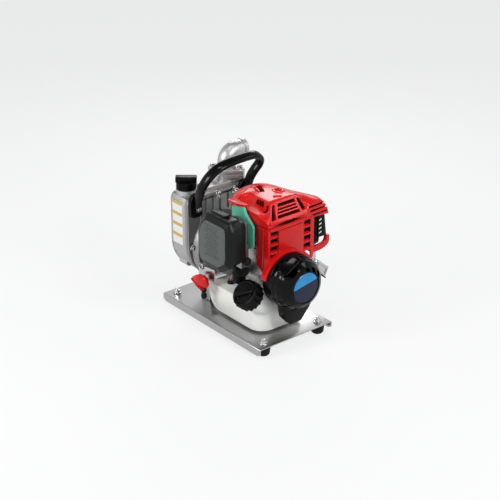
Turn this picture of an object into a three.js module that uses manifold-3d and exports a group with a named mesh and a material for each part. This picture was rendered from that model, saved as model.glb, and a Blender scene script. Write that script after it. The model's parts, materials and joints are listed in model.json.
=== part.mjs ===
// A portable fire pump: a small four-stroke engine drives a self-priming pump on a sheet base.
// Millimetres, +Z up. The origin is on the floor under the middle of the base. The recoil
// starter faces -Y, the suction port +Y, the air cleaner -X and the muffler +X.

import * as THREE from "three";
import { mergeVertices } from "three/addons/utils/BufferGeometryUtils.js";
import Module from "manifold-3d";

const wasm = await Module();
wasm.setup();

// Driving dimensions

const GAP = 0.3; // between pieces that are fastened together
const RUN = 0.2; // radial clearance of what turns or slides
const OVER = 2; // how far every cut runs past its face
const MERGE = 1e-4; // corners closer than this are one
const CURVE_STEPS = 2; // straight pieces of a rounded corner
const ROUND_SIDES = 24; // sides of a large round shape
const SMALL_SIDES = 12; // sides of a small round shape
const TINY_SIDES = 8; // sides of the smallest lugs and holes
const MIDDLE_SIDES = 20; // sides of a knob or a bend
const FACE_SIDES = 40; // sides of a disc that is seen face on
const HOOD_SIDES = 48; // sides of the hood round the starter
const HEX_SIDES = 6;
const STEEP = 0.9; // an axis whose z share is past this counts as upright

const PLATE = { length: 278, width: 165, sheet: 2, drop: 14.5, bend: 2.5, notchBack: 9, notchRise: 4 };
const FOOT = {
  sides: 16, height: 19, topRadius: 13, bottomRadius: 11, edge: 2.5, insetX: 20.3, insetY: 15.2,
};
FOOT.bore = 3.3;
FOOT.boreDepth = 14;
const STUD = { radius: 3, length: 10, tip: 3, nutRadius: 5.8, nut: 5, washerRadius: 7.5, washer: 1.5 };

const CRANK = { height: 122, radius: 6, front: -121, back: 101, pinRadius: 5, throw: 13 };
Object.assign(CRANK, { webRadius: 21, web: 6, gap: 12, weightWidth: 26 });

const BORE = { y: -45, radius: 17.5, deck: 158, top: 204 };
const CASE = { front: -101, back: 34, radius: 32, cavity: 25, wall: 8, noseRadius: 19, noseLength: 3.3 };
Object.assign(CASE, { flangeRadius: 45, flange: 6, deckHalf: 25, lugWidth: 16, lugLength: 20, lugY: -30 });
const BARREL = { wall: 4.5, fins: 6, finPitch: 7.4, fin: 2.2, finHalf: 29, finCorner: 9, firstFin: 170 };
Object.assign(BARREL, { flange: 5, head: 222, headHalf: 24, portHeight: 200, portRadius: 7, bossRadius: 12 });
Object.assign(BARREL, { inletEnd: 38.7, exhaustEnd: 37, plugHole: 5.4, plugHeight: 213 });
BARREL.radius = BORE.radius + BARREL.wall;
const VALVE_COVER = { half: 22, height: 13, corner: 6, wall: 2.5 };
const PISTON = { clearance: 0.3, bottom: 169, height: 23, crown: 6, skirt: 2.6, pinHeight: 178 };
PISTON.radius = BORE.radius - PISTON.clearance;
const PIN = { radius: 4, length: 30 };
const ROD = { eye: 7.2, thick: 9, shank: 7, bigHalf: 12.5, bigTop: 152, openRadius: 18.6 };
const PLUG = { radius: 5, hexRadius: 8, hex: 6, body: 5.5, bodyLength: 13, reach: 12 };
const PLUG_CAP = { radius: 9, length: 22, bore: 6.2, boreDepth: 12 };

const HOUSING = {
  front: -121.7, back: -104.3, radius: 47.8, wall: 2.6, plate: 2.5, vents: 6, vent: 7, ventRing: 29,
};
const FLYWHEEL = { front: -119.5, back: -109, radius: 43, disc: 4, hub: 13, blades: 12, blade: 2 };

const STARTER = { back: -122, front: -161.5, radius: 49, wall: 2.5, postRadius: 7, postEnd: -127 };
STARTER.radiusShares = [1, 1, 0.97, 0.91, 0.79, 0.63];
STARTER.depthShares = [0, 0.3, 0.52, 0.72, 0.9, 1];
const TAIL = {
  back: -122, front: -137.5, top: 94, bottom: 46, half: 29, footHalf: 13, shoulder: 65, wall: 3, round: 4,
};
const REEL = { radius: 27, front: -141, back: -128, core: 20, rim: 2.5 };
const GRIP = { centre: [-28, -151, 167.5], length: 48, radius: 6.5, endRadius: 5.2, stem: 9, stemRadius: 5 };
GRIP.bar = [0.866, 0, 0.5];
GRIP.pull = [-0.447, -0.447, 0.775];
const ROPE = { hole: 2.4, guide: 8, guideDepth: 7 };
const BADGE = { radius: 27, thick: 1 };

const FAN_COVER = { front: -104, wall: 2.5, left: -36, right: 67, bottom: 124, top: 218.5, stepX: 48 };
Object.assign(FAN_COVER, { hoodWall: 4, hoodFront: -115, hoodBottom: 132, sideBack: -72, hubHole: 35 });
Object.assign(FAN_COVER, { sideRise: 22, rightBottom: 139, rightBack: -90, corner: 8, rib: 1.2 });
const PANEL = { left: -11, right: 41, bottom: 150, top: 211, rise: 1.5 };
const EYELET = { left: 47, right: 60, bottom: 143, top: 156 };
const LOUVRE = { left: [-31, -15], right: [44, 59], top: 214, pitch: 14.3, bar: 4, count: 4 };

const TOP_COVER = {
  front: -104, left: -36, right: 104, bottom: 209, frontBottom: 220.5, sill: 229, roof: 256,
};
Object.assign(TOP_COVER, {
  slopeEnd: -78, rearRoof: -4, rearRoofHeight: 247, rear: 27, rearHeight: 230, roofLeft: -9,
});
Object.assign(TOP_COVER, {
  roofRight: 52, shoulder: 90, shoulderHeight: 242, tipHeight: 217, wall: 2.5, planCorner: 44,
});
Object.assign(TOP_COVER, { openFront: -76, openBack: -30, openTop: 236, leftBottom: 220, rearBottom: 216 });
Object.assign(TOP_COVER, { post: 6, pocketX: 37, pocketY: -42, pocket: 7, pocketHole: 4.5, pocketDepth: 3 });
TOP_COVER.window = { front: -70, back: -58, bottom: 238, top: 249 };
TOP_COVER.shoulderSlots = { left: 62, right: 86, bottom: 217, pitch: 9.5, height: 4.5, count: 3 };
Object.assign(TOP_COVER, { sillRound: 3, brow: 4, rearRound: 6, leftRound: 5, rightRound: 8, tipRound: 3 });
const GRILLE = { left: -24, right: 51.5, bottom: 232.4, top: 251.2 };
GRILLE.slotShares = [
  [[0.305, 0.75], [0.835, 0.75], [0.835, 1], [0.34, 1]],
  [[0.185, 0], [0.815, 0], [0.815, 0.22], [0.225, 0.22]],
  [[0.25, 0.36], [0.815, 0.36], [0.815, 0.45], [0.265, 0.45]],
  [[0.285, 0.54], [0.82, 0.54], [0.82, 0.63], [0.305, 0.63]],
  [[0, 0], [0.1, 0], [0.265, 0.93], [0.18, 0.93]],
  [[0.88, 0.02], [1, 0.06], [0.99, 0.88], [0.9, 0.93]],
];

const MUFFLER = { left: 40, right: 94, front: -88, back: -25, bottom: 150, top: 213, corner: 8, wall: 2 };
Object.assign(MUFFLER, { outlet: 5, outletHeight: 165, outletY: -60 });
const GUARD = { front: -99, back: -91, left: FAN_COVER.right + GAP, right: 110, bottom: 143, top: 168 };
Object.assign(GUARD, { bend: 6, elbow: 8, inside: 4 });
GUARD.shares = [[0, 0], [0.58, 0.02, GUARD.bend], [1, 0.28, GUARD.elbow], [1, 1], [0.79, 1]];
GUARD.shares.push([0.77, 0.6, GUARD.inside], [0.485, 0.46, GUARD.inside], [0, 0.44]);
const SCREEN = {
  left: 84, right: 103, rightTop: 98, bottom: 168.3, top: 208.7, front: -96.5, back: -93.5, stayEnd: -88.3,
};
Object.assign(SCREEN, { post: 4, slots: 4, slot: 4.5, slant: 3 });
const DEFLECTOR = { front: -98.5, sheet: 2, back: -80, strap: [84, 93], shelf: 121 };
Object.assign(DEFLECTOR, { left: 79, right: 109.5, bottom: 85.5, top: 125 });
DEFLECTOR.shares = [[0.165, 1], [0, 0.52], [0.705, 0], [1, 0.47]];

const INSULATOR = { left: -44, right: -39, front: -73, back: -16, bottom: 166, top: 244, corner: 3 };
INSULATOR.shares = [[0, 0.13], [0.475, 0], [1, 0], [1, 0.92], [0.455, 1], [0.335, 0.845], [0, 0.64]];
const CARB = { right: -44.3, left: -61.7, front: -60, back: -24, bottom: 176, top: 222, corner: 5 };
Object.assign(CARB, { pumpBottom: 140, pumpFront: -64, pumpBack: -34, pumpRight: -46 });
const BULB = { x: -54, height: 154, radius: 7.5, length: 7, lift: 4.5, stem: 5, stemDepth: 5, boreDepth: 10 };
BULB.domeShares = [[0, 0], [1, 0], [1, 0.33], [0.85, 0.67], [0.5, 0.93], [0, 1]];
const AIR = { outer: -110, split: -96, inner: -78, front: -90, back: 3, bottom: 143, top: 244, wall: 2.5 };
AIR.chamfers = { backTop: [24, 30], frontTop: [10, 12], frontBottom: [28, 20], round: 7 };
Object.assign(AIR, { inset: 3, panelInset: 7, panelRise: 3, neckFront: -76, neckBack: -12, neckBottom: 156 });
Object.assign(AIR, { neckTop: 232, neckRound: 10, intake: 6, intakes: 4 });
const FILTER = { front: -95, back: -84 };
const CHOKE = { x: -86, height: 176, length: 26, width: 7, thick: 3, hub: 6, pin: 2.5, pinLength: 2.2 };

const TANK = { left: -53, right: 53, front: -103, back: 38, bottom: 26, top: 75, wall: 2.5 };
Object.assign(TANK, {
  bottomCorner: 8, topCorner: 12, endCorner: 28, backCorner: 34, grommetX: -28, grommetY: 7, grommet: 5,
});
Object.assign(TANK, { skidWidth: 12, skidHalf: 30, skids: [-80, -6] });
const FILLER = {
  y: -82, height: 90.5, inside: 27.5, tilt: 40, neckRadius: 18.5, neckBore: 15.5, neckBelow: 60,
  boreBelow: 50,
};
const FUEL_CAP = { play: 0.6, wall: 7.4, height: 22, top: 3.5, grip: 9, gripRise: 4, gripLength: 44 };
FUEL_CAP.skirt = FILLER.neckRadius + FUEL_CAP.play;
FUEL_CAP.radius = FUEL_CAP.skirt + FUEL_CAP.wall;
FILLER.cap = [-FILLER.inside - FUEL_CAP.radius, FILLER.y, FILLER.height];
const GASKET = { thick: 1.4 };
const HOSE = { radius: 2.4, sides: 8, steps: 14 };
const GROMMET = { radius: 6.5, waist: 4.7, height: 5, below: 4 };
const OIL_CAP = { x: 32.6, y: 8, height: 124, radius: 9, length: 9, stem: 6, stemLength: 9 };

const COVER = { face: 75, plate: 6, boss: 16, bossLength: 13, sealRadius: 11, sealDepth: 12 };
COVER.bell = { radius: 64, depth: COVER.face - CASE.back - GAP };
COVER.bell.shares = [[1, 0], [0.97, 0.2], [0.845, 0.54], [0.735, 0.835], [0.72, 1]];
Object.assign(COVER, { bellWall: 5, windowWidth: 36, windowStart: 14, windowEnd: 30 });
const CASING = { radius: 72, centre: 135, top: 226, corner: 14, back: 122.5, wall: 5 };
Object.assign(CASING, {
  fillerX: -50, fillerY: 105, fillerRadius: 14.6, fillerBore: 11, collar: 18.5, collarTop: 232,
  ductWall: 3,
});
Object.assign(CASING, { outletX: 37.5, outletY: 101, outletBore: 13, throatTop: 243, throatPlate: 7 });
Object.assign(CASING, { throatHalf: 19, portHeight: 140, portBore: 20.5 });
Object.assign(CASING, { legX: 45, legWidth: 12, legFront: 86, legBack: 114, padWidth: 24, pad: 6 });
const ELBOW = { axis: 281, radius: 15.3, rim: 16.5, rimLength: 6, bore: 12, flange: 8, end: 78 };
Object.assign(ELBOW, { boltSpan: 52.2, boltTurn: -57.5, ear: 8.5, hub: 19, steps: 4 });
const SCREW = { radius: 3, head: 5.2, headHeight: 5, socket: 2.5, socketDepth: 3, spare: 1 };
const PRIMING_CAP = { radius: 18, base: 232.6, height: 12.4, skirt: 15, top: 3, lugs: 12, lug: 1.4 };
const PORT = {
  flangeRadius: 29, flangeEnd: 130, body: 25, seat: 144, seatWall: 5, bore: 12.5, nozzle: 16.6, end: 162.5,
};
Object.assign(PORT, { ear: 3, earGap: 4.6, earLength: 5, earRise: 3.2 });
const FLAP = { radius: 14, thick: 2.5, arm: 17.5, width: 8, pin: 2, pinHalf: 7.4, back: 143.6 };
const VOLUTE = { radius: 52, inner: 40.5, back: 105, plate: 4, eye: 15, outlet: [14, 38] };
const IMPELLER = {
  radius: 38, front: 84, disc: 3.5, depth: 14, vanes: 6, vane: 2.4, hub: 11, sweep: 60, steps: 5,
};
const DRAIN = { x: -20, y: 98, radius: 7, head: 6, stem: 4.2, stemLength: 10, boss: 9, bossBottom: 57 };

const HANDLE = {
  width: 12, depth: 19, lean: 20, sides: 12, steps: 30, footWidth: 22, footThick: 9, back: 74.7,
};
Object.assign(HANDLE, {
  footLeft: -56, footRight: 54, footTop: 219, footBottom: 191, boltHeight: 207, boltDepth: 5,
});
Object.assign(HANDLE, { left: -58.5, right: 66, front: 34.5, rear: 69, low: 208, high: 293.5 });
HANDLE.pathShares = [
  [0.012, 1, 0], [0, 0.71, 0.234], [0.004, 0.435, 0.497], [0.064, 0.275, 0.69], [0.129, 0.177, 0.804],
  [0.202, 0.101, 0.883], [0.285, 0.055, 0.936], [0.414, 0.023, 0.975], [0.55, 0.009, 0.992], [0.687, 0, 1],
  [0.815, 0.003, 0.994], [0.92, 0.046, 0.947], [0.992, 0.142, 0.848], [1, 0.27, 0.713], [0.948, 0.38, 0.585],
  [0.904, 0.53, 0.421], [0.899, 0.725, 0.222], [0.904, 1, 0],
];

const BRACKET = { left: -60, sheet: 2, bossY: 52, bossHeight: 92, boss: 7, bossStart: -40, hole: 5.4 };
Object.assign(BRACKET, { front: 14, back: 60, bottom: 74, top: 107 });
BRACKET.shares = [[0, 0.3], [0, 1], [0.52, 0.94], [1, 0.67], [1, 0.24], [0.695, 0], [0.305, 0]];
const LEVER = { left: -80, right: -73, pivotY: 38, pivotHeight: 84, hub: 12, pin: 5, pinEnd: -57, rise: 3 };
Object.assign(LEVER, { front: 14, back: 65, bottom: 62, top: 100.5 });
LEVER.shares = [
  [1, 0.44], [0.65, 0.83], [0.255, 1], [0.02, 0.81], [0, 0.47], [0.275, 0.235], [0.47, 0], [0.745, 0.31],
];
const STEM = { x: -76, y: 24, bottom: 50, radius: 4, ball: 5.5 };
STEM.ballShares = [[0, -1], [0.7, -0.7], [1, 0], [0.7, 0.7], [0, 1]];

// Working values that follow from them

const plateTop = FOOT.height + PLATE.sheet;
const casingFront = COVER.face + COVER.plate;
const crankX = 0;

// Corners given as shares of a width and a height, each with the radius that rounds it, if any.
const spread = ([left, right], [bottom, top], shares) =>
  shares.map(([u, v, ...round]) => [left + u * (right - left), bottom + v * (top - bottom), ...round]);

// Builders: each returns a solid, placed in the frame of the whole pump

function solid(geometry) {
  geometry.deleteAttribute("normal");
  geometry.deleteAttribute("uv");
  const merged = mergeVertices(geometry, MERGE);
  const index = merged.index.array;
  const corners = [];
  for (let i = 0; i < index.length; i += 3) {
    const [a, b, c] = [index[i], index[i + 1], index[i + 2]];
    if (a !== b && b !== c && c !== a) corners.push(a, b, c);
  }
  const vertProperties = merged.attributes.position.array;
  const build = (order) => {
    const triVerts = new Uint32Array(order);
    return new wasm.Manifold(new wasm.Mesh({ numProp: 3, vertProperties, triVerts }));
  };
  const made = build(corners);
  return made.volume() < 0 ? build(corners.reverse()) : made;
}

const join = (first, ...rest) => rest.reduce((sum, next) => sum.add(next), first);
const cut = (first, ...rest) => rest.reduce((sum, next) => sum.subtract(next), first);

function box([x0, x1], [y0, y1], [z0, z1]) {
  const geometry = new THREE.BoxGeometry(x1 - x0, y1 - y0, z1 - z0);
  return solid(geometry.translate((x0 + x1) / 2, (y0 + y1) / 2, (z0 + z1) / 2));
}

// A basis whose third direction is the given axis, and a matrix from it and a place.
function frameAlong(axis, place = [0, 0, 0]) {
  const w = new THREE.Vector3(...axis).normalize();
  const helper = Math.abs(w.z) > STEEP ? new THREE.Vector3(1, 0, 0) : new THREE.Vector3(0, 0, 1);
  const u = new THREE.Vector3().crossVectors(helper, w).normalize();
  const v = new THREE.Vector3().crossVectors(w, u);
  return new THREE.Matrix4().makeBasis(u, v, w).setPosition(...place);
}

// A cylinder or cone that starts at a place and runs along an axis.
function rod(start, axis, length, radius, sides = SMALL_SIDES, endRadius = radius) {
  const geometry = new THREE.CylinderGeometry(endRadius, radius, length, sides);
  geometry.rotateX(Math.PI / 2).translate(0, 0, length / 2);
  return solid(geometry.applyMatrix4(frameAlong(axis, start)));
}

// A solid drawn round the z axis, laid with that axis along another one.
const place = (shape, axis, at) => shape.transform(frameAlong(axis, at).toArray());

const alongX = (x0, x1, y, z, radius, sides) => rod([x0, y, z], [1, 0, 0], x1 - x0, radius, sides);
const alongY = (y0, y1, x, z, radius, sides) => rod([x, y0, z], [0, 1, 0], y1 - y0, radius, sides);
const alongZ = (z0, z1, x, y, radius, sides) => rod([x, y, z0], [0, 0, 1], z1 - z0, radius, sides);

// A shape turned about an axis: the profile lists radius and distance along it.
function turned(profile, start, axis, sides = ROUND_SIDES) {
  const points = profile.map(([radius, along]) => new THREE.Vector2(radius, along));
  const first = profile[0];
  if (first[0] > 0 || profile.at(-1)[0] > 0) points.push(points[0].clone());
  const geometry = new THREE.LatheGeometry(points, sides).rotateX(Math.PI / 2);
  return solid(geometry.applyMatrix4(frameAlong(axis, start)));
}

// A closed outline from corners [u, v] or, with its corner rounded, [u, v, radius].
function outline(corners) {
  const shape = new THREE.Shape();
  const count = corners.length;
  corners.forEach(([u, v, radius = 0], i) => {
    const corner = new THREE.Vector2(u, v);
    const before = new THREE.Vector2(...corners[(i + count - 1) % count].slice(0, 2));
    const after = new THREE.Vector2(...corners[(i + 1) % count].slice(0, 2));
    const toward = (other) => other.clone().sub(corner).normalize().multiplyScalar(radius).add(corner);
    const [start, end] = radius ? [toward(before), toward(after)] : [corner, corner];
    if (i) shape.lineTo(start.x, start.y);
    else shape.moveTo(start.x, start.y);
    if (radius) shape.quadraticCurveTo(u, v, end.x, end.y);
  });
  return shape;
}

// A shape extruded along x (drawn in y, z), y (drawn in x, z) or z (drawn in x, y).
function prism(axis, shape, [from, to]) {
  const drawn = Array.isArray(shape) ? outline(shape) : shape;
  const settings = { depth: to - from, bevelEnabled: false, curveSegments: CURVE_STEPS };
  const geometry = new THREE.ExtrudeGeometry(drawn, settings);
  const [x, y, z] = [new THREE.Vector3(1, 0, 0), new THREE.Vector3(0, 1, 0), new THREE.Vector3(0, 0, 1)];
  const basis = new THREE.Matrix4();
  if (axis === "x") basis.makeBasis(y, z, x).setPosition(from, 0, 0);
  if (axis === "y") basis.makeBasis(x, z, y.clone().negate()).setPosition(0, to, 0);
  if (axis === "z") basis.makeBasis(x, y, z).setPosition(0, 0, from);
  return solid(geometry.applyMatrix4(basis));
}

// A skin over rings of points, closed at both ends.
function loft(rings) {
  const positions = [];
  const face = (...points) => points.forEach((p) => positions.push(p.x, p.y, p.z));
  const count = rings[0].length;
  const middle = (ring) => ring.reduce((sum, p) => sum.add(p), new THREE.Vector3()).divideScalar(count);
  const [firstMiddle, lastMiddle] = [middle(rings[0]), middle(rings.at(-1))];
  for (let i = 0; i < count; i++) {
    const j = (i + 1) % count;
    for (let k = 1; k < rings.length; k++) {
      face(rings[k - 1][i], rings[k - 1][j], rings[k][j]);
      face(rings[k - 1][i], rings[k][j], rings[k][i]);
    }
    face(firstMiddle, rings[0][j], rings[0][i]);
    face(lastMiddle, rings.at(-1)[i], rings.at(-1)[j]);
  }
  const geometry = new THREE.BufferGeometry();
  geometry.setAttribute("position", new THREE.Float32BufferAttribute(positions, 3));
  return solid(geometry);
}

const ellipse = (count, spread) => [...Array(count).keys()].map((i) => spread((2 * Math.PI * i) / count));

// A tube whose middle follows a smooth curve through points.
function tube(points, radius, sides, steps) {
  const path = new THREE.CatmullRomCurve3(points.map((p) => new THREE.Vector3(...p)));
  const rim = (t) => new THREE.Vector2(radius * Math.cos(t), radius * Math.sin(t));
  const section = new THREE.Shape(ellipse(sides, rim));
  return solid(new THREE.ExtrudeGeometry(section, { steps, bevelEnabled: false, extrudePath: path }));
}

// A bar of oval section whose middle lies in one plane through points.
function flatArch(points, across, width, depth, sides, steps) {
  const path = new THREE.CatmullRomCurve3(points.map((p) => new THREE.Vector3(...p)));
  const side = new THREE.Vector3(...across).normalize();
  const rings = [...Array(steps + 1).keys()].map((k) => {
    const middle = path.getPointAt(k / steps);
    const out = new THREE.Vector3().crossVectors(side, path.getTangentAt(k / steps)).normalize();
    return ellipse(sides, (t) => {
      const reach = middle.clone().addScaledVector(out, (Math.cos(t) * width) / 2);
      return reach.addScaledVector(side, (Math.sin(t) * depth) / 2);
    });
  });
  return loft(rings);
}

// Materials

const paint = (color, roughness, metalness) => new THREE.MeshStandardMaterial(
  { color, roughness, metalness },
);
const MATERIAL = {
  sheet: paint(0xc9cccd, 0.35, 0.9),
  casting: paint(0xb4b7b8, 0.5, 0.8),
  darkCasting: paint(0x77797a, 0.5, 0.8),
  steel: paint(0xa8aaab, 0.35, 0.9),
  zinc: paint(0xb9bbb8, 0.35, 0.9),
  brass: paint(0xb08d4a, 0.35, 0.9),
  red: paint(0xd81818, 0.25, 0),
  glossBlack: paint(0x101112, 0.2, 0),
  black: paint(0x1c1d1e, 0.6, 0),
  rubber: paint(0x151515, 0.85, 0),
  airGreen: paint(0x353836, 0.5, 0),
  panel: paint(0x606664, 0.5, 0),
  green: paint(0x0f6b4a, 0.45, 0),
  tank: paint(0xf1f1ea, 0.35, 0),
  hose: paint(0x8f8079, 0.4, 0),
  foam: paint(0x3f4347, 0.95, 0),
  blue: paint(0x1b5f9c, 0.25, 0),
};

const pump = new THREE.Group();

function piece(name, shape, material) {
  const mesh = shape.getMesh();
  const geometry = new THREE.BufferGeometry();
  geometry.setAttribute("position", new THREE.BufferAttribute(new Float32Array(mesh.vertProperties), 3));
  geometry.setIndex(new THREE.BufferAttribute(new Uint32Array(mesh.triVerts), 1));
  const flat = geometry.toNonIndexed();
  flat.computeVertexNormals();
  const made = new THREE.Mesh(flat, material);
  made.name = name;
  pump.add(made);
}

// Base: the plate, its rubber feet and the studs that hold them

const corners = [];
for (const [end, sy] of [["front", -1], ["back", 1]]) {
  for (const [side, sx] of [["left", -1], ["right", 1]]) {
    const x = sx * (PLATE.width / 2 - FOOT.insetX);
    const y = sy * (PLATE.length / 2 - FOOT.insetY);
    corners.push({ name: end + "_" + side, x, y });
  }
}

function basePlate() {
  const [half, end] = [PLATE.width / 2, PLATE.length / 2];
  const [low, under] = [plateTop - PLATE.drop, plateTop - PLATE.sheet];
  const inner = half - PLATE.sheet;
  const section = [[-half, low], [-inner, low], [-inner, under], [inner, under], [inner, low], [half, low]];
  section.push([half, plateTop, PLATE.bend], [-half, plateTop, PLATE.bend]);
  let plate = prism("y", section, [-end, end]);
  for (const s of [-1, 1]) {
    const notch = [[s * (end - PLATE.notchBack), low], [s * (end + OVER), low]];
    notch.push([s * (end + OVER), low + (PLATE.notchRise * (PLATE.notchBack + OVER)) / PLATE.notchBack]);
    plate = cut(plate, prism("x", notch, [-half - OVER, half + OVER]));
  }
  const holes = corners.map(({ x, y }) => alongZ(under - OVER, plateTop + OVER, x, y, FOOT.bore));
  return cut(plate, ...holes);
}

function foot({ x, y }) {
  const profile = [[0, 0], [FOOT.bottomRadius - FOOT.edge, 0], [FOOT.bottomRadius, FOOT.edge]];
  profile.push([FOOT.topRadius, FOOT.height], [0, FOOT.height]);
  const body = turned(profile, [x, y, 0], [0, 0, 1], FOOT.sides);
  return cut(body, alongZ(FOOT.height - FOOT.boreDepth, FOOT.height + OVER, x, y, FOOT.bore));
}

function footNut({ x, y }) {
  const washer = alongZ(plateTop, plateTop + STUD.washer, x, y, STUD.washerRadius);
  const nutTop = plateTop + STUD.washer + STUD.nut;
  const nut = alongZ(plateTop, nutTop, x, y, STUD.nutRadius, HEX_SIDES);
  const stud = alongZ(FOOT.height - STUD.length, nutTop + STUD.tip, x, y, STUD.radius);
  return join(washer, nut, stud);
}

piece("base_plate", basePlate(), MATERIAL.sheet);
for (const corner of corners) {
  piece("foot_" + corner.name, foot(corner), MATERIAL.rubber);
  piece("foot_nut_" + corner.name, footNut(corner), MATERIAL.zinc);
}

// Engine: crankcase, cylinder and the crank train

function crankcase() {
  const { front, back, radius, cavity, wall } = CASE;
  const z = CRANK.height;
  const barrelY = [BORE.y - CASE.deckHalf, BORE.y + CASE.deckHalf];
  let body = alongY(front, back, crankX, z, radius, ROUND_SIDES);
  body = join(body, alongY(back - CASE.flange, back, crankX, z, CASE.flangeRadius, ROUND_SIDES));
  body = join(body, alongY(front - CASE.noseLength, front + OVER, crankX, z, CASE.noseRadius, ROUND_SIDES));
  body = join(body, box([-CASE.deckHalf, CASE.deckHalf], barrelY, [z, BORE.deck]));
  const lugX = [-CASE.lugWidth / 2, CASE.lugWidth / 2];
  for (const y of [CASE.lugY - CASE.lugLength, CASE.lugY + CASE.lugLength]) {
    const lugY = [y - CASE.lugWidth / 2, y + CASE.lugWidth / 2];
    body = join(body, box(lugX, lugY, [TANK.top + GAP, z - cavity - OVER]));
  }
  const chamber = alongY(front + wall, back - wall, crankX, z, cavity, ROUND_SIDES);
  const shaft = alongY(
    front - CASE.noseLength - OVER, back + OVER, crankX, z, CRANK.radius + RUN, ROUND_SIDES,
  );
  const well = alongZ(z, BORE.deck + OVER, crankX, BORE.y, BORE.radius + RUN, ROUND_SIDES);
  const oil = alongX(cavity / 2, radius + OVER, OIL_CAP.y, OIL_CAP.height, OIL_CAP.stem + RUN);
  return cut(body, chamber, shaft, well, oil);
}

function cylinder() {
  const { fins, finPitch, fin, finHalf, finCorner, firstFin, headHalf } = BARREL;
  const square = (half, corner) => [
    [-half, BORE.y - half, corner],
    [half, BORE.y - half, corner],
    [half, BORE.y + half, corner],
    [-half, BORE.y + half, corner],
  ];
  let body = alongZ(BORE.deck, BARREL.head, crankX, BORE.y, BARREL.radius, ROUND_SIDES);
  body = join(body, prism("z", square(CASE.deckHalf, BARREL.flange), [BORE.deck, BORE.deck + BARREL.flange]));
  for (let k = 0; k < fins; k++) {
    const z = firstFin + k * finPitch;
    body = join(body, prism("z", square(finHalf, finCorner), [z, z + fin]));
  }
  body = join(body, prism("z", square(headHalf, finCorner), [BORE.top, BARREL.head]));
  body = join(body, alongX(-BARREL.inletEnd, 0, BORE.y, BARREL.portHeight, BARREL.bossRadius));
  body = join(body, alongX(0, BARREL.exhaustEnd, BORE.y, BARREL.portHeight, BARREL.bossRadius));
  const bore = alongZ(BORE.deck - OVER, BORE.top, crankX, BORE.y, BORE.radius, ROUND_SIDES);
  const inlet = alongX(-BARREL.inletEnd - OVER, 0, BORE.y, BARREL.portHeight, BARREL.portRadius);
  const exhaust = alongX(0, BARREL.exhaustEnd + OVER, BORE.y, BARREL.portHeight, BARREL.portRadius);
  const plugWell = alongY(BORE.y, BORE.y + finHalf + OVER, crankX, BARREL.plugHeight, BARREL.plugHole);
  return cut(body, bore, inlet, exhaust, plugWell);
}

function valveCover() {
  const { half, height, corner, wall } = VALVE_COVER;
  const square = (side) => [
    [-side, BORE.y - side, corner],
    [side, BORE.y - side, corner],
    [side, BORE.y + side, corner],
    [-side, BORE.y + side, corner],
  ];
  const base = BARREL.head;
  const outer = prism("z", square(half), [base, base + height]);
  return cut(outer, prism("z", square(half - wall), [base - OVER, base + height - wall]));
}

function piston() {
  const { radius, bottom, height, crown, skirt, pinHeight } = PISTON;
  const body = alongZ(bottom, bottom + height, crankX, BORE.y, radius, ROUND_SIDES);
  const hollow = alongZ(bottom - OVER, bottom + height - crown, crankX, BORE.y, radius - skirt, ROUND_SIDES);
  const pinHole = alongY(BORE.y - radius - OVER, BORE.y + radius + OVER, crankX, pinHeight, PIN.radius + RUN);
  return cut(body, hollow, pinHole);
}

function connectingRod() {
  const y = [BORE.y - ROD.thick / 2, BORE.y + ROD.thick / 2];
  const eye = alongY(...y, crankX, PISTON.pinHeight, ROD.eye, MIDDLE_SIDES);
  const big = box([-ROD.bigHalf, ROD.bigHalf], y, [CRANK.height + CRANK.throw, ROD.bigTop]);
  const shank = box([-ROD.shank / 2, ROD.shank / 2], y, [ROD.bigTop - OVER, PISTON.pinHeight]);
  const pinHole = alongY(y[0] - OVER, y[1] + OVER, crankX, PISTON.pinHeight, PIN.radius + RUN);
  const sweep = alongY(y[0] - OVER, y[1] + OVER, crankX, CRANK.height, ROD.openRadius, ROUND_SIDES);
  return cut(join(eye, big, shank), pinHole, sweep);
}

function crankshaft() {
  const { height, radius, front, back, pinRadius, web, gap, webRadius, weightWidth } = CRANK;
  const start = BORE.y - gap / 2 - web;
  const end = BORE.y + gap / 2 + web;
  let body = alongY(front, start + OVER / 2, crankX, height, radius, ROUND_SIDES);
  body = join(body, alongY(end - OVER / 2, back, crankX, height, radius, ROUND_SIDES));
  for (const y of [start, end - web]) {
    const disc = alongY(y, y + web, crankX, height, webRadius, ROUND_SIDES);
    const arm = box([-weightWidth / 2, weightWidth / 2], [y, y + web], [height, height + webRadius]);
    const low = box([-webRadius, webRadius], [y, y + web], [height - webRadius, height]);
    body = join(body, disc.intersect(join(arm, low)));
  }
  return join(body, alongY(start + web / 2, end - web / 2, crankX, height + CRANK.throw, pinRadius));
}

function sparkPlug() {
  const z = BARREL.plugHeight;
  const seat = BORE.y + BARREL.finHalf + GAP;
  const thread = alongY(seat - PLUG.reach, seat + OVER, crankX, z, PLUG.radius);
  const hex = alongY(seat, seat + PLUG.hex, crankX, z, PLUG.hexRadius, HEX_SIDES);
  const body = alongY(seat, seat + PLUG.hex + PLUG.bodyLength, crankX, z, PLUG.body);
  return join(thread, hex, body);
}

function plugCap() {
  const z = BARREL.plugHeight;
  const start = BORE.y + BARREL.finHalf + GAP + PLUG.hex + GAP;
  const body = alongY(start, start + PLUG_CAP.length, crankX, z, PLUG_CAP.radius);
  return cut(body, alongY(start - OVER, start + PLUG_CAP.boreDepth + OVER, crankX, z, PLUG_CAP.bore));
}

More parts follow.
